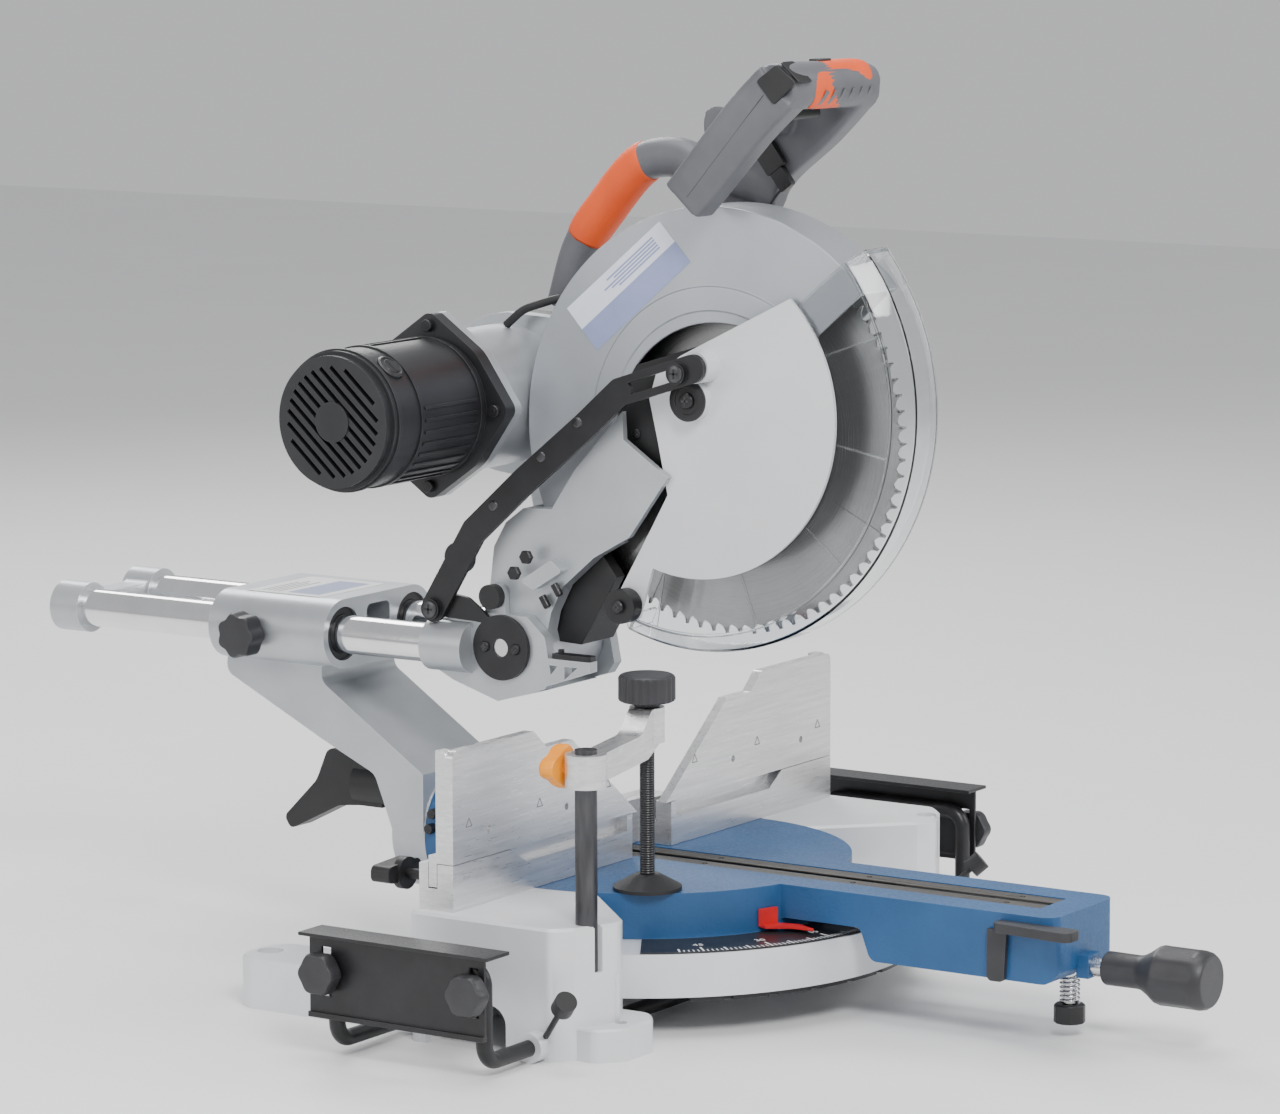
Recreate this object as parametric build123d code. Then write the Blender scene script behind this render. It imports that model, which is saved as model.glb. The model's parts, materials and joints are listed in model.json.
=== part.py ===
from build123d import *
import os
from math import atan2, cos, degrees, hypot, pi, radians, sin

# Sliding compound mitre saw, in millimetres.
# Origin on the mitre pivot axis at the bench, +X to the operator's right, +Y away, +Z up.

# Base, table and bench feet
TABLE_TOP = 96.0
TABLE_UNDERSIDE = 62.3
TABLE_RADIUS = 156.0
BASE_FLOOR_TOP = 62.0
RING_RADIUS = 208.0
WING_REACH = 270.0
WING_REAR = 29.0
BENCH_HOLE = (225.0, -126.0)
LEG_HOLE = (222.0, 190.0)
BENCH_HOLE_RADIUS = 4.5
POST_X, POST_Y, POST_RADIUS = 239.0, -106.0, 8.0
RUNNING_FIT = 0.06
GAP = 0.3
KERF_HALF = 4.0
ARM_HALF = 47.0
ARM_END = -378.0

# Extension supports
BAR_RADIUS, BAR_Z, BAR_FRONT, BAR_REAR = 6.0, 11.0, -84.0, 44.0
BAR_LEG_X, BAR_TOP, BAR_INNER = 335.0, 80.0, 62.0
PLATE_KNOB_Z = 63.0

# Fence
FENCE_FRONT, FENCE_TOP, FENCE_PLATE = -5.0, 130.0, 8.0

# Bevel arm, rails and carriage
RAIL_X, RAIL_Z, RAIL_RADIUS = 45.0, 248.0, 15.0
RAIL_START, RAIL_END = 136.0, 524.0
HOUSING_FRONT, HOUSING_REAR = 250.0, 362.0
TRUNNION_RADIUS = 48.0
TRUNNION_REAR = 172.5
HEAD_PIVOT = (98.0, 251.0)
LINK_PIVOT = (157.0, 277.0)
HUB_HALF, HUB_RADIUS = 37.5, 34.0
PIVOT_RADIUS = 12.0

# Saw head
BLADE_RADIUS = 152.5
ARBOR = (-74.0, 423.0)
ARBOR_RADIUS = 12.7
UPPER_GUARD = (-78.0, 423.0)
UPPER_GUARD_RADIUS, UPPER_GUARD_HALF = 168.0, 24.0
GUARD_PIVOT = (-64.0, 448.0)
SHELL_CENTRE = (-58.0, 444.0)
SHELL_RADIUS, SHELL_HALF, SHELL_WALL = 187.0, 28.0, 2.5
SHELL_INNER = 121.0
MOTOR = (147.0, 434.5)
MOTOR_FLANGE_X, MOTOR_END_X = -72.0, -195.0
BELT_X0, BELT_X1 = 46.0, 58.0
BLADE_PULLEY, MOTOR_PULLEY = 39.0, 26.0
CARRY_X, CARRY_RADIUS = 46.0, 14.0
HANDLE_HALF, HANDLE_ARM = 62.0, 26.0
GRIP = (-153.0, 679.0)
CABLE_RADIUS, CABLE_BEND = 3.2, 34.0
ROLLER = (-5.0, 290.0)


def block(x0, x1, y0, y1, z0, z1):
    corner = (Align.MIN, Align.MIN, Align.MIN)
    return Pos(x0, y0, z0) * Box(x1 - x0, y1 - y0, z1 - z0, align=corner)


def rod(start, end, radius, end_radius=None):
    """A round bar, or a cone, between two points."""
    along = Vector(*end) - Vector(*start)
    plane = Plane(origin=start, z_dir=along)
    base = (Align.CENTER, Align.CENTER, Align.MIN)
    if end_radius is None:
        return plane * Cylinder(radius, along.length, align=base)
    return plane * Cone(radius, end_radius, along.length, align=base)


def rod_x(centre, radius, x0, x1):
    return rod((x0, centre[0], centre[1]), (x1, centre[0], centre[1]), radius)


def rod_y(x, z, radius, y0, y1):
    return rod((x, y0, z), (x, y1, z), radius)


def rod_z(x, y, radius, z0, z1):
    return rod((x, y, z0), (x, y, z1), radius)


def outline(points):
    """A closed flat outline: (u, v) is a sharp corner and (u, v, r) one rounded by r."""
    face = make_face(Polyline(*[(p[0], p[1]) for p in points], close=True))
    for u, v, radius in [p for p in points if len(p) == 3]:
        corner = face.vertices().sort_by_distance(Vector(u, v, 0))[0]
        face = fillet(corner, radius)
    return face


def prism_x(points, x0, x1):
    """Outline points are (y, z)."""
    return extrude(Plane.YZ.offset(x0) * outline(points), x1 - x0, dir=(1, 0, 0))


def prism_y(points, y0, y1):
    """Outline points are (x, z)."""
    plane = Plane(origin=(0, y1, 0), x_dir=(1, 0, 0), z_dir=(0, -1, 0))
    return extrude(plane * outline(points), y1 - y0, dir=(0, -1, 0))


def prism_z(points, z0, z1):
    """Outline points are (x, y)."""
    return extrude(Plane.XY.offset(z0) * outline(points), z1 - z0, dir=(0, 0, 1))


def sector_x(centre, r_in, r_out, start, end, x0, x1):
    """A ring sector across X, its angles counted from +Y towards +Z."""
    outer = CenterArc(centre, r_out, start, end - start)
    inner = CenterArc(centre, r_in, end, start - end)
    edges = [outer, Line(outer @ 1, inner @ 0), inner, Line(inner @ 1, outer @ 0)]
    return extrude(Plane.YZ.offset(x0) * make_face(edges), x1 - x0, dir=(1, 0, 0))


def sector_z(r_in, r_out, start, end, z0, z1):
    """A ring sector about the mitre axis, its angles counted from +X towards +Y."""
    outer = CenterArc((0, 0), r_out, start, end - start)
    inner = CenterArc((0, 0), r_in, end, start - end)
    edges = [outer, Line(outer @ 1, inner @ 0), inner, Line(inner @ 1, outer @ 0)]
    return extrude(Plane.XY.offset(z0) * make_face(edges), z1 - z0, dir=(0, 0, 1))


def tube_path(points, radius, bend):
    """A round bar along straight runs joined by tangent arcs."""
    path = FilletPolyline(*points, radius=bend)
    section = Plane(origin=path @ 0, z_dir=path % 0) * Circle(radius)
    return sweep(section, path=path)


def mirrored(shape):
    return mirror(shape, about=Plane.YZ)


def sided(shape, side):
    """A piece drawn on the right (+X), or its mirror image on the left."""
    return shape if side > 0 else mirrored(shape)


def pair(shape):
    return shape + mirrored(shape)


# ---- base ----

def base_wing():
    plan = [(100, WING_REAR), (WING_REACH, WING_REAR, 8), (WING_REACH, -95, 12), (257, -108, 8)]
    plan += [(222, -124, 12), (208, -116, 6), (148, -55), (100, -20)]
    wing = prism_z(plan, 0, TABLE_TOP)
    wing = chamfer(wing.faces().sort_by(Axis.Z)[-1].edges(), 2)
    wing -= prism_z([(172, 20), (262, 20), (262, -70), (172, -50)], -1, 88)
    arch = prism_x([(-57, -1), (-57, 35, 14), (14, 35, 14), (14, -1)], 255, 280)
    foot_plan = [(188, -60), (188, -128, 16), (205, -140, 10), (240, -140, 12), (256, -124, 12), (256, -60)]
    foot = prism_z(foot_plan, 0, 24)
    foot = chamfer(foot.faces().sort_by(Axis.Z)[-1].edges(), 1.5)
    leg = prism_z([(190, 15), (251, 15), (251, 205, 22), (192, 205, 22)], 0, 38)
    leg = chamfer(leg.faces().sort_by(Axis.Z)[-1].edges(), 2)
    socket = rod_x((BAR_FRONT, BAR_Z), 11, 180, 281) & block(150, 290, -100, 0, 0, 60)
    wing = wing - arch + foot + leg + socket
    for y in (BAR_FRONT, BAR_REAR):
        wing -= rod_x((y, BAR_Z), BAR_RADIUS + RUNNING_FIT, 150, 290)
    for x, y in (BENCH_HOLE, LEG_HOLE):
        wing -= rod_z(x, y, BENCH_HOLE_RADIUS, -1, 60 if y < 0 else 40)
    wing -= rod_z(LEG_HOLE[0], LEG_HOLE[1], 10, 30, 40)
    wing -= rod_z(POST_X, POST_Y, POST_RADIUS + RUNNING_FIT, 40, 100)
    return wing - block(POST_X - 3, POST_X + 3, -140, POST_Y, 62, 100)


def base_casting():
    ring = rod_z(0, 0, RING_RADIUS, 30, BASE_FLOOR_TOP) - rod_z(0, 0, RING_RADIUS - 10, 29, 54)
    front = ring & block(-300, 300, -300, WING_REAR, 0, 100)
    rear = rod_z(0, 0, 150, 30, BASE_FLOOR_TOP) - rod_z(0, 0, 142, 29, 54)
    rear = rear & block(-300, 300, WING_REAR - 20, 300, 0, 100)
    base = front + rear + rod_z(0, 0, 34, 24, 60)
    for angle in range(20, 180, 35):
        rib = Rot(0, 0, angle) * block(-196, 196, -4, 4, 34, 58)
        base += rib & (rod_z(0, 0, 146, 0, 80))
    base += pair(base_wing())
    base -= rod_z(0, 0, TABLE_RADIUS + 0.8, BASE_FLOOR_TOP, 120)
    base -= sector_z(150, 194, 198, 212, 64.5, 82)
    return base - rod_z(0, 0, 12 + RUNNING_FIT, 0, 80)


def fence_rail():
    """The fixed half of the fence on +X."""
    body = prism_y([(27, 96), (260, 96), (260, FENCE_TOP), (27, FENCE_TOP)], FENCE_FRONT, 25)
    lip_recess = prism_y([(34, 118), (34, 135), (194, 135), (168, 118)], FENCE_FRONT - 1, 3.5)
    groove = block(20, 270, 9, 17, 112, 140)
    hollow = block(60, 150, 17, 30, 90, 140)
    lug = block(205, 245, 17.4, 28, 96, 124)
    stud = rod_y(225, 112, 4 + RUNNING_FIT, 16, 40)
    return body - lip_recess - groove - hollow + lug - stud


def fixed_fence():
    bridge = block(-60, 60, 25, 45, TABLE_TOP + GAP, FENCE_TOP)
    fence = pair(fence_rail() + block(27, 61, 20, 45, TABLE_TOP, FENCE_TOP)) + bridge
    return fence - rod_z(0, 0, TABLE_RADIUS + 1.5, 90, TABLE_TOP + GAP)


def sliding_fence(side):
    """The tall fence face on one side, running in the groove of the fixed fence."""
    profile = [(20, 130.5), (107, 199), (141, 199), (157, 213, 4), (260, 213, 6), (260, 130.5)]
    face = prism_y(profile, FENCE_FRONT, FENCE_FRONT + FENCE_PLATE)
    flange = block(250, 260, FENCE_FRONT + FENCE_PLATE - 1, 10, 130.5, 213)
    foot = block(60, 260, FENCE_FRONT + FENCE_PLATE - 1, 16.6, 130.5, 136)
    tongue = block(60, 260, 9.4, 16.6, 113, 131)
    face = face + flange + foot + tongue
    for x in (115, 215):
        face -= rod_y(x, 150, 2.6, -10, 20)
    return sided(face, side)


def fence_knob(side):
    stud = rod_y(225, 112, 4, 17.2, 62)
    wing = prism_y([(206, 104, 6), (206, 121, 6), (247, 119, 5), (247, 107, 5)], 62, 78)
    knob = rod_y(225, 112, 12, 60, 66) + wing
    return sided(stud + knob, side)


def mitre_scale():
    return sector_z(160, 206, 212, 328, BASE_FLOOR_TOP, BASE_FLOOR_TOP + 1.2)


def detent_plate():
    plate = sector_z(188, 206, 222, 318, 26.5, 30)
    for i in range(9):
        angle = radians(230 + 10 * i)
        plate -= rod_z(207 * cos(angle), 207 * sin(angle), 4, 20, 40)
    return plate


# ---- extension supports ----

def support_bar(side):
    """A U-shaped round bar with its two rods in the base and its loop outside."""
    points = [(BAR_INNER, BAR_FRONT, BAR_Z), (BAR_LEG_X, BAR_FRONT, BAR_Z), (BAR_LEG_X, BAR_FRONT, BAR_TOP)]
    points += [(BAR_LEG_X, BAR_REAR, BAR_TOP), (BAR_LEG_X, BAR_REAR, BAR_Z), (BAR_INNER, BAR_REAR, BAR_Z)]
    return sided(tube_path(points, BAR_RADIUS, 14), side)


def stop_plate(side, lift):
    """The folded sheet that carries the end of a long workpiece."""
    sheet = block(342, 344.5, -91, 61, 29, 90)
    top = block(322, 350, -97, 67, 88, 90.5) + block(341.6, 347, -91, 61, 29, 33)
    for y in (BAR_FRONT + 2, BAR_REAR + 2):
        sheet -= block(330, 350, y - 4, y + 4, PLATE_KNOB_Z - lift - 18, PLATE_KNOB_Z - lift + 18)
    return sided(Pos(0, 0, lift) * (sheet + top), side)


def plate_knobs(side):
    knobs = [rod_x((y, PLATE_KNOB_Z), 16, 346.5, 360) + rod_x((y, PLATE_KNOB_Z), 3, 341, 347)
             for y in (BAR_FRONT + 2, BAR_REAR + 2)]
    return sided(knobs[0] + knobs[1], side)


def extension_lock(side):
    start, end = Vector(272, -93, 19), Vector(290, -120, 47)
    lever = rod(start, end, 2.2)
    along = (end - start).normalized()
    return sided(lever + rod(end - along * 3, end + along * 9, 8), side)


# ---- hold-down clamp ----

CLAMP_SCREW = (-116.0, -77.0)


def clamp_post():
    return rod_z(-POST_X, POST_Y, POST_RADIUS, 46, 222)


def clamp_arm():
    hub = rod_z(-POST_X, POST_Y, 15, 195, 219)
    reach = Vector(CLAMP_SCREW[0] + POST_X, CLAMP_SCREW[1] - POST_Y)
    length = hypot(reach.X, reach.Y)
    side = prism_y([(0, 197), (0, 217), (length - 36, 217, 20), (length - 14, 232, 6), (length + 13, 232, 4),
                    (length + 13, 208, 8), (length - 22, 197, 20)], -9, 9)
    end = rod_z(length, 0, 13, 206, 232)
    placed = Pos(-POST_X, POST_Y, 0) * Rot(0, 0, degrees(atan2(reach.Y, reach.X))) * (side + end)
    arm = hub + placed
    arm -= rod_z(-POST_X, POST_Y, POST_RADIUS + RUNNING_FIT, 190, 224)
    arm -= rod_z(CLAMP_SCREW[0], CLAMP_SCREW[1], 5.7 + RUNNING_FIT, 190, 240)
    return arm - rod_y(-POST_X, 207, 4 + RUNNING_FIT, POST_Y, POST_Y + 20)


def clamp_arm_knob():
    stud = rod_y(-POST_X, 207, 4, POST_Y + 8.4, POST_Y + 20)
    return stud + rod_y(-POST_X, 207, 17.5, POST_Y + 17, POST_Y + 30)


def clamp_screw():
    x, y = CLAMP_SCREW
    return rod_z(x, y, 5.7, 108.5, 240) + rod_z(x, y, 9, 233, 237) + rod_z(x, y, 21, 236, 256)


def clamp_pad():
    x, y = CLAMP_SCREW
    cone = rod((x, y, 99), (x, y, 108.2), 25.5, 9)
    return rod_z(x, y, 25.5, TABLE_TOP + GAP, 99) + cone


# ---- turntable ----

def turntable():
    disc = rod_z(0, 0, TABLE_RADIUS, TABLE_UNDERSIDE, TABLE_TOP)
    side = [(-60, TABLE_UNDERSIDE), (-60, TABLE_TOP), (ARM_END, TABLE_TOP), (ARM_END, 54, 6), (-372, 47, 6)]
    side += [(-226, 47, 8), (-217, 71, 6), (-150, 71, 4), (-146, TABLE_UNDERSIDE)]
    arm = prism_x(side, -ARM_HALF, ARM_HALF)
    arm_plan = [(-ARM_HALF, 0), (-ARM_HALF, ARM_END, 12), (ARM_HALF, ARM_END, 12), (ARM_HALF, 0)]
    arm &= prism_z(arm_plan, 40, 100)
    arm -= block(-38, 38, -370, -160, 40, 84)
    arm += block(-12, 12, -372, -360, 47.5, 88)
    trunnion = rod_y(0, TABLE_TOP, TRUNNION_RADIUS, 112, TRUNNION_REAR)
    trunnion &= block(-60, 60, 100, 180, TABLE_UNDERSIDE, 150)
    table = disc + arm + trunnion
    table -= block(-20, 20, -352, 40, TABLE_TOP - 5, TABLE_TOP + 1)
    table -= block(-12, 12, -345, 36, 78, TABLE_TOP)
    table += block(-9, 9, -386, ARM_END + 2, 46, 63)
    table -= rod_y(0, 54, 7.5 + RUNNING_FIT, -390, -368)
    table -= rod_z(0, 0, 12, 60, 72)
    table -= rod_z(0, -366, 5 + RUNNING_FIT, 40, 80)
    table -= rod_y(0, TABLE_TOP, 10, 120, 180)
    return table


def kerf_inserts():
    low, high = TABLE_TOP - 5, TABLE_TOP - 0.6
    section = [(KERF_HALF, high), (19.7, high), (19.7, low), (9, low), (KERF_HALF, high - 1.2)]
    strip = prism_y(section, -351.7, 39.7)
    for y in (-320, -190, -60, 25):
        strip -= rod_z(11.8, y, 2.2, TABLE_TOP - 6, TABLE_TOP)
    return pair(strip)


def turntable_pivots():
    """The mitre pivot stud under the table and the bevel pivot behind it."""
    return rod_z(0, 0, 12, 26, 72) + rod_y(0, TABLE_TOP, 10, 120, 206)


def mitre_pointer():
    flag = prism_z([(-42, -149.2), (-30, -152.2), (-22, -172), (-27, -190), (-31, -172), (-44, -158)], 66, 68)
    foot = prism_z([(-44, -151.2), (-30, -154.2), (-29, -157), (-43, -154)], 67, 80)
    return Rot(0, 0, -9) * ((flag + foot) - rod_z(0, 0, TABLE_RADIUS + 0.05, 60, 90))


def mitre_lock_knob():
    shaft = rod_y(0, 54, 7.5, -427, -373)
    neck = rod((0, -426, 54), (0, -436, 54), 11, 20)
    return shaft + neck + rod_y(0, 54, 22, -481, -435)


def detent_lever():
    plate = prism_x([(-326, 46, 4), (-340, 46, 4), (-342, 84), (-326, 84)], -51.5, -47.5)
    tab = prism_z([(-66, -400, 6), (-47.5, -400, 3), (-47.5, -335), (-60, -335, 4)], 84, 91)
    return plate + tab


def arm_foot():
    return rod_z(0, -366, 5, 20, 70) + rod_z(0, -366, 11.5, 10, 24)


# ---- bevel arm ----

def support_arm():
    profile = [(174, 100), (174, 145), (270, 209, 10), (270, 221), (362, 221), (363, 209, 10)]
    profile += [(271, 164), (220, 141, 12), (212, 121), (204, 100)]
    arm = prism_x(profile, -48, 48)
    channel = prism_x([(160, 152), (176, 152), (262, 207), (262, 240), (230, 250)], -38, 38)
    hollow = prism_x([(196, 132), (290, 188), (290, 214), (262, 202), (192, 156)], -38, 38)
    arm = arm - channel - (hollow & channel)
    arm += rod_y(0, TABLE_TOP, TRUNNION_RADIUS, TRUNNION_REAR + GAP, 204)
    arm -= block(-80, 80, 150, TRUNNION_REAR + GAP, 0, 300)
    arm -= rod_y(0, TABLE_TOP, 10 + RUNNING_FIT, 150, 220)
    return arm - rod_y(0, 122, 5 + RUNNING_FIT, 190, 232)


def rail_housing():
    lobes = [rod_y(x, RAIL_Z, 27, HOUSING_FRONT, HOUSING_REAR) for x in (-RAIL_X, RAIL_X)]
    body = lobes[0] + lobes[1] + block(-RAIL_X, RAIL_X, HOUSING_FRONT, HOUSING_REAR, RAIL_Z - 27, RAIL_Z + 27)
    for x in (-RAIL_X, RAIL_X):
        body -= rod_y(x, RAIL_Z, 21, HOUSING_FRONT - 1, HOUSING_REAR + 1)
    body -= prism_y([(-15, 229, 5), (15, 229, 5), (15, 267, 5), (-15, 267, 5)], 240, 370)
    body -= rod_x((322, 246), 4 + RUNNING_FIT, -80, -60)
    return body + block(-48, 48, HOUSING_FRONT + 4, HOUSING_REAR, 221, 226)


def rail_bushings():
    rings = []
    for x in (-RAIL_X, RAIL_X):
        for y in (HOUSING_FRONT + 2, 340):
            bore = rod_y(x, RAIL_Z, RAIL_RADIUS + RUNNING_FIT, y - 1, y + 21)
            ring = rod_y(x, RAIL_Z, 21, y, y + 20) - bore
            rings.append(ring)
    return rings[0] + rings[1] + rings[2] + rings[3]


def bevel_lock_lever():
    stem = rod_y(0, 122, 5, 194, 262)
    hub = rod_y(0, 122, 17, 236, 268)
    handle = prism_x([(240, 106), (240, 138, 6), (292, 150, 8), (304, 122, 20), (336, 90, 5), (330, 80, 5),
                      (282, 104, 14), (262, 106)], -11, 11)
    return stem + hub + handle


def slide_lock_knob():
    return rod_x((322, 246), 18.5, -91, -73) + rod_x((322, 246), 4, -74, -67)


# ---- carriage ----

def slide_rails():
    rails = [rod_y(x, RAIL_Z, RAIL_RADIUS, RAIL_START, RAIL_END) for x in (-RAIL_X, RAIL_X)]
    return rails[0] + rails[1]


def rail_end_cap():
    cups = [rod_y(x, RAIL_Z, 20, 500, 528) for x in (-RAIL_X, RAIL_X)]
    web = prism_y([(-45, 266), (-24, 258, 12), (24, 258, 12), (45, 266), (45, 236), (24, 242, 10),
                   (-24, 242, 10), (-45, 236)], 502, 524)
    cap = cups[0] + cups[1] + web
    for x in (-15, 0, 15):
        cap -= block(x - 5, x + 5, 508, 530, 246, 254)
    for x in (-RAIL_X, RAIL_X):
        cap -= rod_y(x, RAIL_Z, RAIL_RADIUS, 499, RAIL_END)
    return cap


def pivot_casting():
    sockets = [rod_y(x, RAIL_Z, 20, 127, 165) for x in (-RAIL_X, RAIL_X)]
    yoke = [(165, 232), (145, 222), (103, 209), (60, 222), (54, 231), (60, 262), (76, 276), (120, 276),
            (165, 266)]
    fork = prism_x(yoke, 38, 48)
    floor = prism_x([(165, 232), (145, 222), (103, 209), (70, 218), (90, 224), (165, 262)], -38, 38)
    floor -= rod_x(HEAD_PIVOT, HUB_RADIUS + 1.5, -39, 39)
    casting = sockets[0] + sockets[1] + pair(fork) + floor
    casting += rod_x(HEAD_PIVOT, 22, 48, 52)
    truss = prism_x([(60, 224), (84, 224), (84, 246), (19, 246), (19, 238)], -48, -38)
    for y in (30, 48):
        truss -= prism_x([(y, 241), (y + 12, 241), (y + 12, 231 - (y - 30) * 0.2)], -60, -30)
    casting += truss
    casting += prism_x([(98, 270), (118, 270), (116, 298, 6), (100, 298, 6)], -44, -38)
    casting -= rod_x((108, 289), 4 + RUNNING_FIT, -50, -30)
    for x in (-RAIL_X, RAIL_X):
        casting -= rod_y(x, RAIL_Z, RAIL_RADIUS, RAIL_START, 170)
    casting -= rod_x(HEAD_PIVOT, HUB_RADIUS + 1.5, -37.9, 37.9)
    casting -= rod_z(-43, 48, 2.5, 236, 250)
    return casting - rod_x(HEAD_PIVOT, PIVOT_RADIUS, -60, 60)


def link_plate():
    disc = rod_x(HEAD_PIVOT, 25, -52, -48)
    lobe = prism_x([(104, 268), (112, 276), (128, 287, 8), (150, 290, 6), (168, 284, 8), (168, 271, 4),
                    (122, 269.5)], -52, -48)
    plate = disc + lobe
    for offset in (-14, 14):
        plate -= rod_x((HEAD_PIVOT[0] + offset, HEAD_PIVOT[1]), 2.5, -60, -40)
    plate -= rod_x(LINK_PIVOT, 4, -60, -40)
    return plate - rod_x(HEAD_PIVOT, 7, -60, -40)


def head_pivot_shaft():
    return rod_x(HEAD_PIVOT, PIVOT_RADIUS, -48, 52) + rod_x(HEAD_PIVOT, 7, -50.5, -47)


def transport_lock_pin():
    return rod_x((108, 289), 4, -50, -38.4) + rod_x((108, 289), 9.5, -52, -44.3)


def depth_stop_swivel():
    plate = prism_z([(-48, 19, 2), (-38, 19, 2), (-38, 54, 2), (-48, 54, 2)], 246.4, 250)
    return plate + rod_z(-43, 48, 2.5 - RUNNING_FIT, 238, 253)


LINK_LINE = [(157, 277), (119, 339), (72, 381), (19, 424), (-14, 453), (-78, 474)]


def guard_link_arm():
    """The bent steel link that opens the lower guard as the head comes down."""
    arm = None
    for i, (start, end) in enumerate(zip(LINK_LINE, LINK_LINE[1:])):
        turn = degrees(atan2(end[1] - start[1], end[0] - start[0]))
        length = hypot(end[0] - start[0], end[1] - start[1])
        flat = Pos(start[0], start[1]) * Rot(0, 0, turn) * Pos(length / 2, 0) * SlotCenterToCenter(length, 21)
        if i == 4:
            flat -= Pos(start[0], start[1]) * Rot(0, 0, turn) * Pos(32, 0) * SlotCenterToCenter(42, 9)
        arm = flat if arm is None else arm + flat
    arm = extrude(Plane.YZ.offset(-57) * arm, 4, dir=(1, 0, 0))
    arm += rod_x(LINK_PIVOT, 4 - RUNNING_FIT, -57, -48.5) + rod_x(LINK_PIVOT, 8, -61, -56)
    return arm + rod_x((-66, 470), 4.5, -57, -50) + rod_x((-66, 470), 8, -61, -57)


# ---- saw head ----

CHEEK = [(120, 250), (117, 295), (113, 326), (102, 345), (86, 357), (60, 358), (39, 389), (-4, 436), (-5, 415),
         (-44, 389), (-10, 342), (22, 324), (50, 300), (61, 279), (68, 250)]


def head_casting():
    hub = rod_x(HEAD_PIVOT, HUB_RADIUS, -HUB_HALF, HUB_HALF)
    near = prism_x(CHEEK, -HUB_HALF, -UPPER_GUARD_HALF) - rod_x(GUARD_PIVOT, 128, -32, -20)
    far = prism_x(CHEEK, UPPER_GUARD_HALF, HUB_HALF)
    core = prism_x([(118, 262), (113, 326), (102, 345), (86, 357), (66, 345), (74, 315), (96, 262)], -24, 24)
    case = prism_x([(-74, 361), (-74, 485), (147, 497), (180, 480), (180, 380), (147, 372)], 30, 44)
    case += rod_x(ARBOR, 62, 30, 44) + rod_x(MOTOR, 62, 30, 44)
    case += prism_x([(40, 345), (115, 330), (130, 400), (0, 420)], UPPER_GUARD_HALF, 44)
    adapter = rod_x(MOTOR, 54, -58, 32)
    flange = motor_diamond(-60, -52)
    arbor_boss = rod_x(ARBOR, 30, 9, 32)
    casting = hub + near + far + core + case + adapter + flange + arbor_boss
    casting -= rod_x(UPPER_GUARD, UPPER_GUARD_RADIUS, -24, 9)
    casting -= rod_x(UPPER_GUARD, UPPER_GUARD_RADIUS, 9, 24) - rod_x(ARBOR, 30, 0, 30)
    casting -= rod_x(MOTOR, 44, -70, 20)
    casting -= rod_x(MOTOR, 9, -70, 50)
    casting -= rod_x(ARBOR, 15 + RUNNING_FIT, 0, 60)
    casting += depth_stop_block()
    return casting - rod_x(HEAD_PIVOT, PIVOT_RADIUS + RUNNING_FIT, -60, 60)


def depth_stop_block():
    return prism_x([(54, 321, 2), (44, 313, 2), (70, 297, 2), (82, 303, 2)], -48, -36)


def motor_diamond(x0, x1):
    y, z = MOTOR
    points = []
    for i in range(4):
        angle = radians(45 + 90 * i)
        tip = radians(90 * i)
        points.append((y + 72 * cos(tip), z + 72 * sin(tip), 9))
        points.append((y + 60 * cos(angle), z + 60 * sin(angle), 30))
    return prism_x(points, x0, x1)


def upper_guard():
    """The fixed guard: a rim with two side walls round the upper half of the blade."""
    start, end = -38, 139
    rim = sector_x(UPPER_GUARD, UPPER_GUARD_RADIUS - 3, UPPER_GUARD_RADIUS, start, end, -24, 24)
    near = sector_x(UPPER_GUARD, 60, UPPER_GUARD_RADIUS, start, end, -24, -21)
    far = sector_x(UPPER_GUARD, 60, UPPER_GUARD_RADIUS, start, end, 21, 24)
    step = sector_x(UPPER_GUARD, 91, 109, start, end, -25.2, -23)
    guard = rim + near + far + step - rod_x((-80, 414), 91, -30, -20)
    guard -= prism_x(CHEEK, -40, -24)
    return guard - rod_x(ARBOR, 58, 20, 30)


def arbor_cover():
    plate = prism_x([(6, 436), (6, 412), (-3, 404), (-40, 386), (-88, 398), (-96, 462), (-60, 486),
                     (-8, 470)], -24, -21.5)
    plate -= rod_x(UPPER_GUARD, 200, -40, -10) - rod_x((-80, 414), 91, -40, -10)
    return plate - rod_x(ARBOR, 22, -40, -10)


def belt_cover():
    shell = prism_x([(-74, 361), (-74, 485), (147, 497), (147, 372)], 44, 68)
    shell += rod_x(ARBOR, 62, 44, 68) + rod_x(MOTOR, 62, 44, 68)
    shell = chamfer(shell.faces().sort_by(Axis.X)[-1].edges(), 6)
    cavity = prism_x([(-74, 369), (-74, 477), (147, 489), (147, 380)], 43, 62)
    return shell - cavity - rod_x(ARBOR, 54, 43, 62) - rod_x(MOTOR, 54, 43, 62)


def motor_housing():
    y, z = MOTOR
    body = rod_x(MOTOR, 52, -188, -66) + motor_diamond(MOTOR_FLANGE_X, -60)
    cap = rod_x(MOTOR, 49, MOTOR_END_X, -186)
    motor = body + cap
    motor -= rod_x(MOTOR, 44, -178, -50)
    motor -= rod_x(MOTOR, 8.5, -186, -150)
    for i in range(-5, 6):
        half = (41 ** 2 - (7.4 * i) ** 2) ** 0.5
        slot = Pos(-193, 0, 7.4 * i) * Box(10, 2 * half, 3.4)
        motor -= Pos(0, y, z) * Rot(42, 0, 0) * slot
    return motor + rod_x(MOTOR, 15, -196, -186.2)


def motor_armature():
    rotor = rod_x(MOTOR, 38, -168, -78)
    shaft = rod_x(MOTOR, 8, -184, 60)
    pulley = rod_x(MOTOR, MOTOR_PULLEY, BELT_X0, BELT_X1)
    return rotor + shaft + pulley


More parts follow.
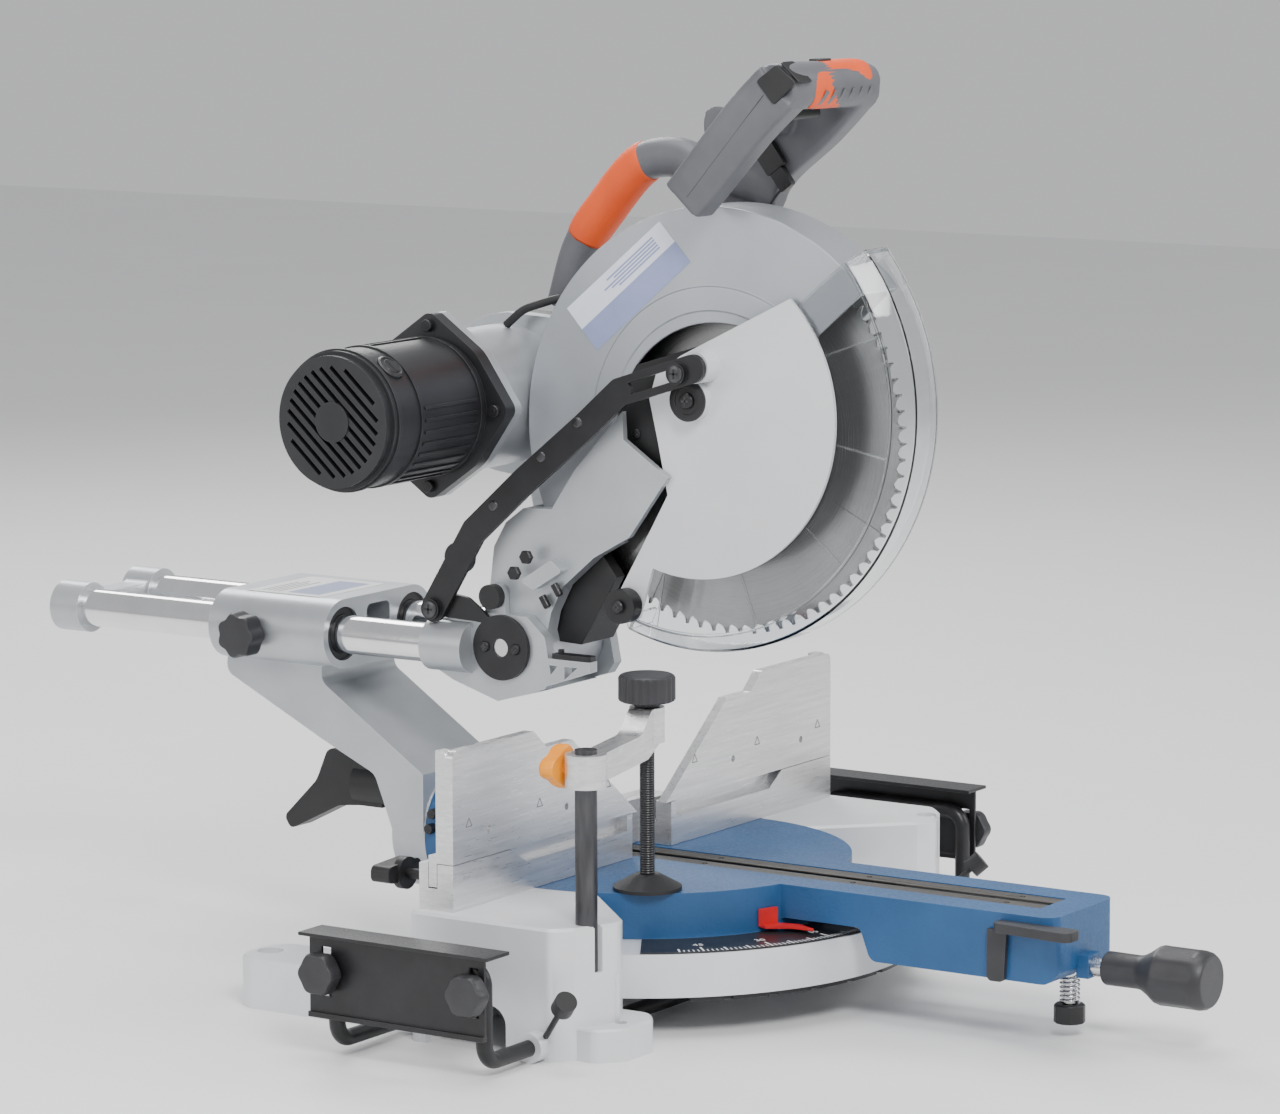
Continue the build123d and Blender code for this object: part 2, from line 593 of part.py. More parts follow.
def drive_belt():
    def loop(extra):
        low, high = BLADE_PULLEY + extra, MOTOR_PULLEY + extra
        tilt = atan2(MOTOR[1] - ARBOR[1], MOTOR[0] - ARBOR[0])
        spread = pi / 2 + (low - high) / hypot(MOTOR[0] - ARBOR[0], MOTOR[1] - ARBOR[1])
        corners = []
        for centre, radius, sign in ((ARBOR, low, 1), (MOTOR, high, 1), (MOTOR, high, -1), (ARBOR, low, -1)):
            angle = tilt + sign * (pi - spread)
            corners.append((centre[0] + radius * cos(angle), centre[1] + radius * sin(angle)))
        band = prism_x(corners, BELT_X0 + 1, BELT_X1 - 1)
        band += rod_x(ARBOR, low, BELT_X0 + 1, BELT_X1 - 1)
        return band + rod_x(MOTOR, high, BELT_X0 + 1, BELT_X1 - 1)
    return loop(4.5) - loop(GAP)


def blade_spindle():
    shaft = rod_x(ARBOR, 15, 1.1, 60) + rod_x(ARBOR, ARBOR_RADIUS, -12, 2)
    inner = rod_x(ARBOR, 26, 1.1, 8.5)
    outer = rod_x(ARBOR, 26, -9, -1.1) + rod_x(ARBOR, 11, -20, -8)
    return shaft + inner + outer + rod_x(ARBOR, BLADE_PULLEY, BELT_X0, BELT_X1)


def blade():
    disc = rod_x(ARBOR, BLADE_RADIUS, -1.1, 1.1) - rod_x(ARBOR, ARBOR_RADIUS, -2, 2)
    for i in range(4):
        slot = Pos(0, 0, 130) * Box(4, 2, 46) + Pos(0, 0, 106) * Rot(0, 90, 0) * Cylinder(3, 4)
        disc -= Pos(0, ARBOR[0], ARBOR[1]) * Rot(20 + 90 * i, 0, 0) * slot
    return disc


# ---- handles and controls ----

def handle_side():
    """One arm of the D-handle, on +X."""
    return prism_x([(-50, 592), (-90, 602, 4), (-172, 676, 8), (-166, 690, 8), (-149, 700, 8), (-134, 692, 6),
                    (-66, 618, 6)], HANDLE_HALF - HANDLE_ARM, HANDLE_HALF)


def handle_shells():
    grip = rod_x(GRIP, 15.5, -40, 40)
    lower = rod_x((-98, 652), 9.5, -40, 40)
    handle = pair(handle_side()) + grip + lower
    neck = prism_x([(-92, 520), (-88, 604), (-50, 616), (-14, 604), (16, 546), (60, 502), (106, 490),
                    (106, 480), (-60, 480)], 44, 58)
    neck -= rod_x(ARBOR, 62, 30, 60) + rod_x(MOTOR, 62, 30, 60)
    neck -= prism_x([(-74, 361), (-74, 485), (147, 497), (147, 372)], 30, 68)
    handle += neck
    handle -= rod_x((GRIP[0] + 16, GRIP[1] - 8), 11, -19.5, 19.5)
    handle -= block(-8.3, 8.3, -160, -146, 684, 700)
    return handle - carry_path()


def soft_grips():
    sleeve = rod_x(GRIP, 17.5, -35, 35) - rod_x(GRIP, 15.5, -40, 40)
    sleeve -= block(-50, 50, GRIP[0] + 3, GRIP[0] + 30, 640, 700)
    return sleeve - block(-9, 9, -165, -140, 684, 700)


def trigger():
    side = [(-141, 668, 2), (-132, 676, 3), (-126, 668, 5), (-131, 655, 3), (-143, 656, 3)]
    return prism_x(side, -18, 18) - rod_x(GRIP, 18.0, -40, 40)


def lock_off_button():
    return block(-7.8, 7.8, -158, -148, 690, 700)


def carry_path():
    side = [(-22, 604), (-2, 620), (36, 614), (62, 584), (88, 548), (104, 500)]
    points = [(CARRY_X, y, z) for y, z in side]
    return tube_path(points, CARRY_RADIUS, 14)


def carry_handle():
    bar = carry_path()
    bar -= rod_x(MOTOR, 62, 30, 68) + rod_x(ARBOR, 62, 30, 68)
    return bar - prism_x([(-74, 361), (-74, 485), (147, 497), (147, 372)], 30, 68)


def motor_cable():
    points = [(14, 136, 489), (14, 120, 502), (20, 96, 510), (32, 70, 515)]
    print("motor_cable bend radius", CABLE_BEND, "cable radius", CABLE_RADIUS)
    return tube_path(points, CABLE_RADIUS, CABLE_BEND)


# ---- lower guard and its drive ----

def lower_guard():
    """The clear guard: a rim with sloping shoulders and two side walls, turning about its own pivot."""
    start, sweep = 140, 150
    shoulder, slope = SHELL_RADIUS - 13, SHELL_HALF - 13
    half = [(SHELL_INNER, SHELL_HALF), (shoulder, SHELL_HALF), (SHELL_RADIUS, slope)]
    inside = [(SHELL_RADIUS - SHELL_WALL - 0.3, slope - 1), (shoulder - 1, SHELL_HALF - SHELL_WALL),
              (SHELL_INNER, SHELL_HALF - SHELL_WALL)]
    section = [(r, -x) for r, x in half] + half[::-1] + inside[::-1] + [(r, -x) for r, x in inside]
    radial = Vector(0, cos(radians(start)), sin(radians(start)))
    centre = (0, SHELL_CENTRE[0], SHELL_CENTRE[1])
    plane = Plane(origin=centre, x_dir=radial, z_dir=radial.cross(Vector(1, 0, 0)))
    return revolve(plane * outline(section), axis=Axis(centre, (1, 0, 0)), revolution_arc=sweep)


def guard_side_plate():
    """The opaque plate that carries the clear guard on its pivot."""
    disc = rod_x((-62, 437), 123, -31, -28)
    trim = prism_x([(-155, 531), (-52, 480), (-30, 465), (-24, 446), (-31, 417), (-40, 375), (-25, 320),
                    (-40, 290), (-220, 290), (-220, 500)], -32, -27)
    plate = disc & trim
    arm = prism_x([(-40, 375), (-27, 320), (-14, 279, 4), (-2, 279, 4), (4, 298, 4), (-26, 350)], -31, -28)
    plate += arm
    plate += rod_x((-75, 474), 12, -49, -31)
    boss = rod_x(GUARD_PIVOT, 15, -40, -31)
    return plate + boss - rod_x(ROLLER, 3, -40, -20)


def guard_roller():
    return rod_x(ROLLER, 13, -44, -32) + rod_x(ROLLER, 3 - RUNNING_FIT, -46, -28)


def dust_chute():
    outer = prism_x([(26, 326), (12, 308), (44, 254), (88, 256), (58, 316)], -21.5, 21.5)
    inner = prism_x([(26, 322), (16, 310), (46, 250), (82, 250), (54, 314)], -18, 18)
    chute = outer - inner
    return chute - rod_x(HEAD_PIVOT, HUB_RADIUS, -40, 40) - rod_x(ARBOR, 157, -10, 10)


PIECES = {
    "base_casting": base_casting, "fixed_fence": fixed_fence, "mitre_scale": mitre_scale,
    "detent_plate": detent_plate, "clamp_post": clamp_post, "clamp_arm": clamp_arm,
    "clamp_arm_knob": clamp_arm_knob, "clamp_screw": clamp_screw, "clamp_pad": clamp_pad,
    "turntable": turntable, "kerf_inserts": kerf_inserts, "turntable_pivots": turntable_pivots,
    "mitre_pointer": mitre_pointer, "mitre_lock_knob": mitre_lock_knob, "detent_lever": detent_lever,
    "arm_foot": arm_foot, "support_arm": support_arm, "rail_housing": rail_housing,
    "rail_bushings": rail_bushings, "bevel_lock_lever": bevel_lock_lever, "slide_lock_knob": slide_lock_knob,
    "slide_rails": slide_rails, "rail_end_cap": rail_end_cap, "pivot_casting": pivot_casting,
    "link_plate": link_plate, "head_pivot_shaft": head_pivot_shaft, "transport_lock_pin": transport_lock_pin,
    "depth_stop_swivel": depth_stop_swivel, "guard_link_arm": guard_link_arm, "head_casting": head_casting,
    "upper_guard": upper_guard, "arbor_cover": arbor_cover, "belt_cover": belt_cover,
    "motor_housing": motor_housing, "motor_armature": motor_armature, "drive_belt": drive_belt,
    "blade_spindle": blade_spindle, "blade": blade, "handle_shells": handle_shells, "soft_grips": soft_grips,
    "trigger": trigger, "lock_off_button": lock_off_button, "carry_handle": carry_handle,
    "motor_cable": motor_cable, "lower_guard": lower_guard, "guard_side_plate": guard_side_plate,
    "guard_roller": guard_roller, "dust_chute": dust_chute,
}

os.makedirs("parts", exist_ok=True)
for name, build in PIECES.items():
    export_step(build(), f"parts/{name}.step")
for label, side, lift in (("left", -1, 0), ("right", 1, 10)):
    export_step(sliding_fence(side), f"parts/{label}_sliding_fence.step")
    export_step(fence_knob(side), f"parts/{label}_fence_knob.step")
    export_step(support_bar(side), f"parts/{label}_support_bar.step")
    export_step(stop_plate(side, lift), f"parts/{label}_stop_plate.step")
    export_step(plate_knobs(side), f"parts/{label}_plate_knobs.step")
    export_step(extension_lock(side), f"parts/{label}_extension_lock.step")
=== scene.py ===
import json
import math

import bmesh
import bpy
from mathutils import Matrix, Vector


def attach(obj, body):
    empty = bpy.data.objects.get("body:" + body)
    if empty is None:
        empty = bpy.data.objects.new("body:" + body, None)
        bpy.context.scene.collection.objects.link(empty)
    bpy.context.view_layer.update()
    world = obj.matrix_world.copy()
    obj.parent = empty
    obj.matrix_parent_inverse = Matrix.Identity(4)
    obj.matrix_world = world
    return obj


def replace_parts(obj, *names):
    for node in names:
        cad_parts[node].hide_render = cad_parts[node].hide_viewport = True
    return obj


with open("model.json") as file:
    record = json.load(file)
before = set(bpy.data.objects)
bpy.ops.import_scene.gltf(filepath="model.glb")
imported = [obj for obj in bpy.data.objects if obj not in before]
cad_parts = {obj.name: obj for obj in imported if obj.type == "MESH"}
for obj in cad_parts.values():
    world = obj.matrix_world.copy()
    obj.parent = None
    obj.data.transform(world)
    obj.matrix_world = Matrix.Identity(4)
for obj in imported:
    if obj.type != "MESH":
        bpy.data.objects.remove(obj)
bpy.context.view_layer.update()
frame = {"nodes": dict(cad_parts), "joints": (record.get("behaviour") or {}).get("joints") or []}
NODES = frame["nodes"]
MM = 0.001
PIVOT = {j["name"]: Vector(j["pos_m"]) for j in frame["joints"] if "pos_m" in j}
X, Y, Z = Vector((1, 0, 0)), Vector((0, 1, 0)), Vector((0, 0, 1))


# ---- materials ----

def noise(tree, place, scale, detail=3.0, rough=0.55):
    node = tree.nodes.new("ShaderNodeTexNoise")
    node.inputs["Scale"].default_value = scale
    node.inputs["Detail"].default_value = detail
    node.inputs["Roughness"].default_value = rough
    tree.links.new(place.outputs[0], node.inputs["Vector"])
    return node


def spread(tree, source, low, high, start=0.3, end=0.7):
    """Maps a noise output to the range low..high."""
    node = tree.nodes.new("ShaderNodeMapRange")
    for name, value in (("From Min", start), ("From Max", end), ("To Min", low), ("To Max", high)):
        node.inputs[name].default_value = value
    tree.links.new(source, node.inputs["Value"])
    return node.outputs["Result"]


def mix_colour(tree, factor, a, b):
    node = tree.nodes.new("ShaderNodeMix")
    node.data_type = "RGBA"
    for i, value in ((6, a), (7, b)):
        if isinstance(value, tuple):
            node.inputs[i].default_value = (*value, 1)
        else:
            tree.links.new(value, node.inputs[i])
    tree.links.new(factor, node.inputs[0])
    return node.outputs[2]


def surface(name, dark, light, rough, metallic=0.0, mottle=25.0, grain=900.0, relief=0.1, depth=0.0002,
            stretch=(1, 1, 1), edge_highlight=None, turned_about=None, **sockets):
    """A material whose colour, gloss and relief vary in the object's own space."""
    mat = bpy.data.materials.new(name)
    mat.use_nodes = True
    tree = mat.node_tree
    bsdf = tree.nodes["Principled BSDF"]
    coord = tree.nodes.new("ShaderNodeTexCoord")
    place = tree.nodes.new("ShaderNodeMapping")
    place.inputs["Scale"].default_value = stretch
    tree.links.new(coord.outputs["Object"], place.inputs["Vector"])
    if turned_about is not None:
        place.inputs["Location"].default_value = [-c for c in turned_about]
        radius = tree.nodes.new("ShaderNodeVectorMath")
        radius.operation = "LENGTH"
        flat = tree.nodes.new("ShaderNodeVectorMath")
        flat.operation = "MULTIPLY"
        flat.inputs[1].default_value = (0, 1, 1)
        tree.links.new(place.outputs[0], flat.inputs[0])
        tree.links.new(flat.outputs[0], radius.inputs[0])
        rings = tree.nodes.new("ShaderNodeCombineXYZ")
        tree.links.new(radius.outputs["Value"], rings.inputs[0])
        fine_place = rings
    else:
        fine_place = place
    blotch = noise(tree, place, mottle)
    fine = noise(tree, fine_place, grain, detail=2.0)
    colour = mix_colour(tree, spread(tree, blotch.outputs[0], 0, 1), dark, light)
    # Lighter colour mixed in along every edge, found from the bevel normal: a painted highlight where light catches the
    # edges.
    if edge_highlight:
        bevel = tree.nodes.new("ShaderNodeBevel")
        bevel.samples = 4
        bevel.inputs["Radius"].default_value = 0.0012
        geometry = tree.nodes.new("ShaderNodeNewGeometry")
        dot = tree.nodes.new("ShaderNodeVectorMath")
        dot.operation = "DOT_PRODUCT"
        tree.links.new(bevel.outputs[0], dot.inputs[0])
        tree.links.new(geometry.outputs["Normal"], dot.inputs[1])
        edge = spread(tree, dot.outputs["Value"], 0.55, 0.0, 0.82, 0.99)
        colour = mix_colour(tree, edge, colour, edge_highlight)
    tree.links.new(colour, bsdf.inputs["Base Color"])
    tree.links.new(spread(tree, fine.outputs[0], rough[0], rough[1]), bsdf.inputs["Roughness"])
    bump = tree.nodes.new("ShaderNodeBump")
    bump.inputs["Strength"].default_value = relief
    bump.inputs["Distance"].default_value = depth
    tree.links.new(fine.outputs[0], bump.inputs["Height"])
    tree.links.new(bump.outputs[0], bsdf.inputs["Normal"])
    bsdf.inputs["Metallic"].default_value = metallic
    for key, value in sockets.items():
        bsdf.inputs[key.replace("_", " ")].default_value = value
    return mat


BLADE_AXIS = tuple(PIVOT["blade_spin"])
# The lighter edge colours given to some materials below are painted highlights along their edges.
M = {
    "base_paint": surface("base_paint", (0.70, 0.71, 0.73), (0.78, 0.79, 0.81), (0.30, 0.42), 0.25, 14, 700, 0.25,
                          edge_highlight=(0.80, 0.81, 0.82)),
    "table_blue": surface("table_blue", (0.012, 0.075, 0.200), (0.018, 0.092, 0.240), (0.38, 0.55), 0.0, 22, 420, 0.5,
                          0.0004, edge_highlight=(0.06, 0.16, 0.33)),
    "bare_aluminium": surface("bare_aluminium", (0.66, 0.66, 0.67), (0.80, 0.80, 0.81), (0.26, 0.42), 0.9, 18, 60,
                              0.12, stretch=(1, 6, 22)),
    "casting_silver": surface("casting_silver", (0.42, 0.44, 0.46), (0.50, 0.52, 0.54), (0.30, 0.42), 0.55, 16, 900,
                              0.16, edge_highlight=(0.72, 0.74, 0.76)),
    "guard_silver": surface("guard_silver", (0.40, 0.42, 0.45), (0.46, 0.48, 0.51), (0.30, 0.42), 0.5, 10, 1100, 0.1),
    "chrome_rail": surface("chrome_rail", (0.78, 0.78, 0.79), (0.86, 0.86, 0.87), (0.07, 0.16), 1.0, 30, 1400, 0.04),
    "black_steel": surface("black_steel", (0.008, 0.008, 0.009), (0.015, 0.015, 0.017), (0.30, 0.45), 0.1, 40, 800,
                           0.15, edge_highlight=(0.05, 0.05, 0.05)),
    "black_plastic": surface("black_plastic", (0.008, 0.008, 0.009), (0.014, 0.014, 0.015), (0.40, 0.54), 0, 35, 1300,
                             0.3),
    "motor_plastic": surface("motor_plastic", (0.011, 0.011, 0.013), (0.019, 0.020, 0.022), (0.34, 0.46), 0, 20, 1500,
                             0.3, edge_highlight=(0.045, 0.045, 0.05)),
    "handle_plastic": surface("handle_plastic", (0.095, 0.097, 0.108), (0.122, 0.125, 0.138), (0.40, 0.52), 0, 24,
                              1400, 0.3),
    "grip_rubber": surface("grip_rubber", (0.72, 0.075, 0.006), (0.82, 0.095, 0.009), (0.52, 0.66), 0, 26, 1200, 0.35),
    "knob_plastic": surface("knob_plastic", (0.022, 0.022, 0.025), (0.034, 0.034, 0.038), (0.38, 0.52), 0, 30, 1400,
                            0.3, edge_highlight=(0.07, 0.07, 0.08)),
    "amber_plastic": surface("amber_plastic", (0.86, 0.27, 0.004), (0.94, 0.33, 0.006), (0.28, 0.40), 0, 30, 900,
                             0.12),
    "pointer_red": surface("pointer_red", (0.55, 0.010, 0.012), (0.68, 0.018, 0.018), (0.28, 0.40), 0, 60, 900, 0.1),
    "scale_black": surface("scale_black", (0.014, 0.014, 0.015), (0.024, 0.024, 0.026), (0.30, 0.42), 0.1, 60, 900,
                           0.1),
    "scale_white": surface("scale_white", (0.72, 0.72, 0.72), (0.82, 0.82, 0.82), (0.40, 0.50), 0, 60, 900, 0.1),
    "blade_steel": surface("blade_steel", (0.26, 0.26, 0.26), (0.36, 0.36, 0.36), (0.24, 0.40), 1.0, 12, 2600, 0.12,
                           turned_about=BLADE_AXIS),
    "carbide": surface("carbide", (0.20, 0.20, 0.20), (0.28, 0.28, 0.28), (0.30, 0.40), 1.0, 200, 900, 0.1),
    "bright_steel": surface("bright_steel", (0.60, 0.60, 0.61), (0.72, 0.72, 0.73), (0.18, 0.30), 1.0, 40, 800, 0.1),
    "dark_steel": surface("dark_steel", (0.06, 0.06, 0.064), (0.11, 0.11, 0.115), (0.28, 0.48), 0.9, 30, 120, 0.3,
                          stretch=(6, 6, 1)),
    "copper_armature": surface("copper_armature", (0.45, 0.20, 0.10), (0.62, 0.30, 0.16), (0.30, 0.50), 1.0, 60, 700,
                               0.4, stretch=(8, 1, 1)),
    "belt_rubber": surface("belt_rubber", (0.012, 0.012, 0.013), (0.022, 0.022, 0.024), (0.45, 0.60), 0, 40, 900, 0.3),
    "guard_plate": surface("guard_plate", (0.66, 0.67, 0.69), (0.72, 0.73, 0.75), (0.30, 0.38), 0.1, 12, 1200, 0.06),
    "bushing_plastic": surface("bushing_plastic", (0.010, 0.010, 0.011), (0.020, 0.020, 0.021), (0.45, 0.60), 0, 40,
                               900, 0.3),
    "insert_plastic": surface("insert_plastic", (0.030, 0.028, 0.024), (0.055, 0.050, 0.042), (0.34, 0.52), 0, 40,
                              260, 0.4, stretch=(9, 1, 1)),
    "label_pale": surface("label_pale", (0.74, 0.76, 0.88), (0.80, 0.82, 0.92), (0.30, 0.36), 0, 30, 900, 0.05),
    "label_blue": surface("label_blue", (0.26, 0.30, 0.50), (0.31, 0.35, 0.56), (0.30, 0.36), 0, 30, 900, 0.05),
    "label_white": surface("label_white", (0.78, 0.78, 0.79), (0.86, 0.86, 0.87), (0.34, 0.42), 0, 30, 900, 0.05),
    "engraving": surface("engraving", (0.16, 0.16, 0.17), (0.24, 0.24, 0.25), (0.5, 0.6), 0.4, 90, 900, 0.1),
    "clear_plastic": surface("clear_plastic", (0.93, 0.95, 0.96), (0.97, 0.98, 0.99), (0.02, 0.06), 0, 20, 60, 0.03,
                             Transmission_Weight=1.0, IOR=1.45),
}


# ---- mesh helpers: lengths in millimetres, placed in the row frame ----

def place_on(origin, axis, up=Z):
    """A matrix whose local Z is the axis."""
    axis = Vector(axis).normalized()
    side = Vector(up).cross(axis)
    if side.length < 1e-6:
        side = X.cross(axis) if abs(axis.x) < 0.9 else Y.cross(axis)
    side.normalize()
    turn = Matrix((side, axis.cross(side), axis)).transposed().to_4x4()
    return Matrix.Translation(Vector(origin) * MM) @ turn


def turned(bm, origin, axis, profile, segments=48, lobes=0, depth=0.0, slot=0):
    """Revolves (radius, height) points about an axis. Lobes scallop every ring by depth times its radius."""
    place = place_on(origin, axis)
    rings = []
    for point in profile:
        radius, height = point[0], point[1]
        cut = depth * (point[2] if len(point) > 2 else 1.0)
        ring = []
        for i in range(segments):
            angle = 2 * math.pi * i / segments
            wave = 0.5 - 0.5 * math.cos(lobes * angle) if lobes else 0
            r = radius * (1 - cut * wave) * MM
            ring.append(bm.verts.new(place @ Vector((r * math.cos(angle), r * math.sin(angle), height * MM))))
        rings.append(ring)
    faces = []
    for a, b in zip(rings, rings[1:]):
        for i in range(segments):
            j = (i + 1) % segments
            faces.append(bm.faces.new((a[i], a[j], b[j], b[i])))
    faces.append(bm.faces.new(rings[0][::-1]))
    faces.append(bm.faces.new(rings[-1]))
    for face in faces:
        face.material_index = slot


def close_plate(bm, low, high, slot):
    """Closes two matching outlines into a plate."""
    faces = [bm.faces.new(low[::-1]), bm.faces.new(high)]
    for i in range(len(low)):
        j = (i + 1) % len(low)
        faces.append(bm.faces.new((low[i], low[j], high[j], high[i])))
    for face in faces:
        face.material_index = slot


def slab(bm, corners, origin, axis, thick, up=Z, slot=0):
    """A plate: corners (u, v) in the plane across the axis, grown along it by thick."""
    place = place_on(origin, axis, up)
    low = [bm.verts.new(place @ Vector((u * MM, v * MM, 0))) for u, v in corners]
    high = [bm.verts.new(place @ Vector((u * MM, v * MM, thick * MM))) for u, v in corners]
    close_plate(bm, low, high, slot)


def plate_x(bm, outline, x0, x1, slot=0):
    """A plate across X: outline points are (y, z)."""
    low = [bm.verts.new(Vector((x0, y, z)) * MM) for y, z in outline]
    high = [bm.verts.new(Vector((x1, y, z)) * MM) for y, z in outline]
    close_plate(bm, low, high, slot)


def rounded(points, radius, steps=5):
    """Rounds every corner of a closed outline."""
    out = []
    count = len(points)
    for i, corner in enumerate(points):
        p, a, b = Vector(corner), Vector(points[i - 1]), Vector(points[(i + 1) % count])
        to_a, to_b = (a - p), (b - p)
        half = to_a.angle(to_b) / 2
        reach = min(radius / math.tan(half), to_a.length * 0.45, to_b.length * 0.45)
        start, end = p + to_a.normalized() * reach, p + to_b.normalized() * reach
        for k in range(steps + 1):
            t = k / steps
            out.append(tuple((1 - t) ** 2 * start + 2 * t * (1 - t) * p + t * t * end))
    return out


def piece(name, bm, body, materials, bevel=0.4, angle=30):
    """Makes an object from mesh code, bevels and smooths it, and lets it ride on a body."""
    bmesh.ops.recalc_face_normals(bm, faces=bm.faces)
    mesh = bpy.data.meshes.new(name)
    bm.to_mesh(mesh)
    bm.free()
    for key in materials:
        mesh.materials.append(M[key])
    obj = bpy.data.objects.new(name, mesh)
    bpy.context.scene.collection.objects.link(obj)
    soften(obj, bevel, angle)
    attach(obj, body)
    return obj


def soften(obj, width, angle=30, segments=2):
    obj.data.shade_smooth()
    if width:
        bevel = obj.modifiers.new("bevel", "BEVEL")
        bevel.width = width * MM
        bevel.segments = segments
        bevel.limit_method = "ANGLE"
        bevel.angle_limit = math.radians(angle)
    weighted = obj.modifiers.new("normals", "WEIGHTED_NORMAL")
    weighted.keep_sharp = True


def dress(node, key, bevel=0.6, angle=32):
    """Gives a CAD node its material and a small edge radius."""
    obj = NODES[node]
    obj.data.materials.clear()
    obj.data.materials.append(M[key])
    if "custom_normal" in obj.data.attributes:
        obj.data.attributes.remove(obj.data.attributes["custom_normal"])
    weld = obj.modifiers.new("weld", "WELD")
    weld.merge_threshold = 0.00001
    soften(obj, bevel, angle)


def hex_socket(bm, at, axis, radius, height, slot=0):
    """A socket cap screw head, with a thin hexagon standing on its top."""
    turned(bm, at, axis, [(radius, 0), (radius, height * 0.85), (radius * 0.9, height)], 24, slot=slot)
    hollow = Vector(at) + Vector(axis) * (height * 1.001)
    turned(bm, hollow, axis, [(radius * 0.55, 0), (radius * 0.55, 0.25)], 6, slot=slot)


def cross_screw(bm, at, axis, radius, height, slot=0):
    """A pan head with its cross recess drawn by two thin bars on top, in the next material slot; where that material is
    darker than the head, the bars are painted shade of the recess.
    """
    turned(bm, at, axis, [(radius, 0), (radius, height * 0.4), (radius * 0.86, height * 0.8), (radius * 0.5, height)],
           28, slot=slot)
    top = Vector(at) + Vector(axis) * height
    for turn in (0, 1):
        a, b = (radius * 0.55, radius * 0.13) if turn else (radius * 0.13, radius * 0.55)
        slab(bm, [(-a, -b), (a, -b), (a, b), (-a, b)], top, axis, 0.15, slot=slot + 1)


def along(points, count):
    """Points evenly spaced on a smooth curve through the given points (Catmull-Rom)."""
    pts = [Vector(p) for p in points]
    pts = [pts[0] * 2 - pts[1]] + pts + [pts[-1] * 2 - pts[-2]]
    out = []
    spans = len(pts) - 3
    for k in range(count + 1):
        s = min(k / count * spans, spans - 1e-6)
        i, t = int(s), s - int(s)
        a, b, c, d = pts[i:i + 4]
        out.append(0.5 * (2 * b + (c - a) * t + (2 * a - 5 * b + 4 * c - d) * t ** 2
                          + (3 * b - a - 3 * c + d) * t ** 3))
    return out


def swept(bm, path, section, segments=28, up=X, slot=0, power=2.0):
    """A tube of changing section: section(t) gives its half sizes across and along up."""
    rings = []
    for k, point in enumerate(path):
        ahead = (path[min(k + 1, len(path) - 1)] - path[max(k - 1, 0)]).normalized()
        side = Vector(up)
        side = (side - ahead * side.dot(ahead)).normalized()
        over = ahead.cross(side)
        a, b = section(k / (len(path) - 1))
        ring = []
        for i in range(segments):
            angle = 2 * math.pi * i / segments
            c, s = math.cos(angle), math.sin(angle)
            u = math.copysign(abs(c) ** (2 / power), c) * a
            v = math.copysign(abs(s) ** (2 / power), s) * b
            ring.append(bm.verts.new((point + side * u + over * v) * MM))
        rings.append(ring)
    for r, q in zip(rings, rings[1:]):
        for i in range(segments):
            j = (i + 1) % segments
            bm.faces.new((r[i], r[j], q[j], q[i])).material_index = slot
    bm.faces.new(rings[0][::-1]).material_index = slot
    bm.faces.new(rings[-1]).material_index = slot


def ring_x(bm, centre, r_in, r_out, start, end, x0, x1, steps=48, slot=0):
    """A ring sector across X, its angles counted from +Y towards +Z."""
    rows = []
    for k in range(steps + 1):
        angle = math.radians(start + (end - start) * k / steps)
        c, s = math.cos(angle), math.sin(angle)
        row = [(x0, r_in), (x1, r_in), (x1, r_out), (x0, r_out)]
        rows.append([bm.verts.new(Vector((x, centre[0] + r * c, centre[1] + r * s)) * MM) for x, r in row])
    for a, b in zip(rows, rows[1:]):
        for i in range(4):
            j = (i + 1) % 4
            bm.faces.new((a[i], a[j], b[j], b[i])).material_index = slot
    bm.faces.new(rows[0][::-1]).material_index = slot
    bm.faces.new(rows[-1]).material_index = slot


def moulded(name, bm, body, key, voxel=1.6, smooth=6):
    """Fuses overlapping forms into one moulding with soft inside corners."""
    obj = piece(name, bm, body, [key], bevel=0)
    obj.modifiers.clear()
    remesh = obj.modifiers.new("fuse", "REMESH")
    remesh.mode = "VOXEL"
    remesh.voxel_size = voxel * MM
    remesh.use_smooth_shade = True
    relax = obj.modifiers.new("relax", "SMOOTH")
    relax.factor = 0.5
    relax.iterations = smooth
    return obj


def helix(name, base, radius, pitch, turns, wire, body, key, axis=Z):
    curve = bpy.data.curves.new(name, "CURVE")
    curve.dimensions = "3D"
    curve.bevel_depth = wire * MM
    curve.bevel_resolution = 3
    curve.use_fill_caps = True
    spline = curve.splines.new("POLY")
    count = int(turns * 24)
    spline.points.add(count)
    place = place_on(base, axis)
    for i in range(count + 1):
        angle = 2 * math.pi * i / 24
        at = place @ (Vector((radius * math.cos(angle), radius * math.sin(angle), pitch * i / 24)) * MM)
        spline.points[i].co = (*at, 1)
    return curve_piece(name, curve, body, key)


def wire(name, points, radius, body, key, slot):
    curve = bpy.data.curves.new(name, "CURVE")
    curve.dimensions = "3D"
    curve.bevel_depth = radius * MM
    curve.bevel_resolution = 4
    curve.use_fill_caps = True
    spline = curve.splines.new("POLY")
    fine = along(points, 12 * (len(points) - 1))
    spline.points.add(len(fine) - 1)
    for i, point in enumerate(fine):
        spline.points[i].co = (*(point * MM), 1)
    return curve_piece(name, curve, body, key)


def curve_piece(name, curve, body, key):
    curve.materials.append(M[key])
    obj = bpy.data.objects.new(name, curve)
    bpy.context.scene.collection.objects.link(obj)
    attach(obj, body)
    return obj


def threaded(radius, depth, start, end, pitch):
    """A profile of thread crests and roots."""
    profile = []
    height = start
    while height < end:
        profile += [(radius, height), (radius - depth, height + pitch / 2)]
        height += pitch
    return profile + [(radius, end)]


# ---- carried-over CAD nodes ----

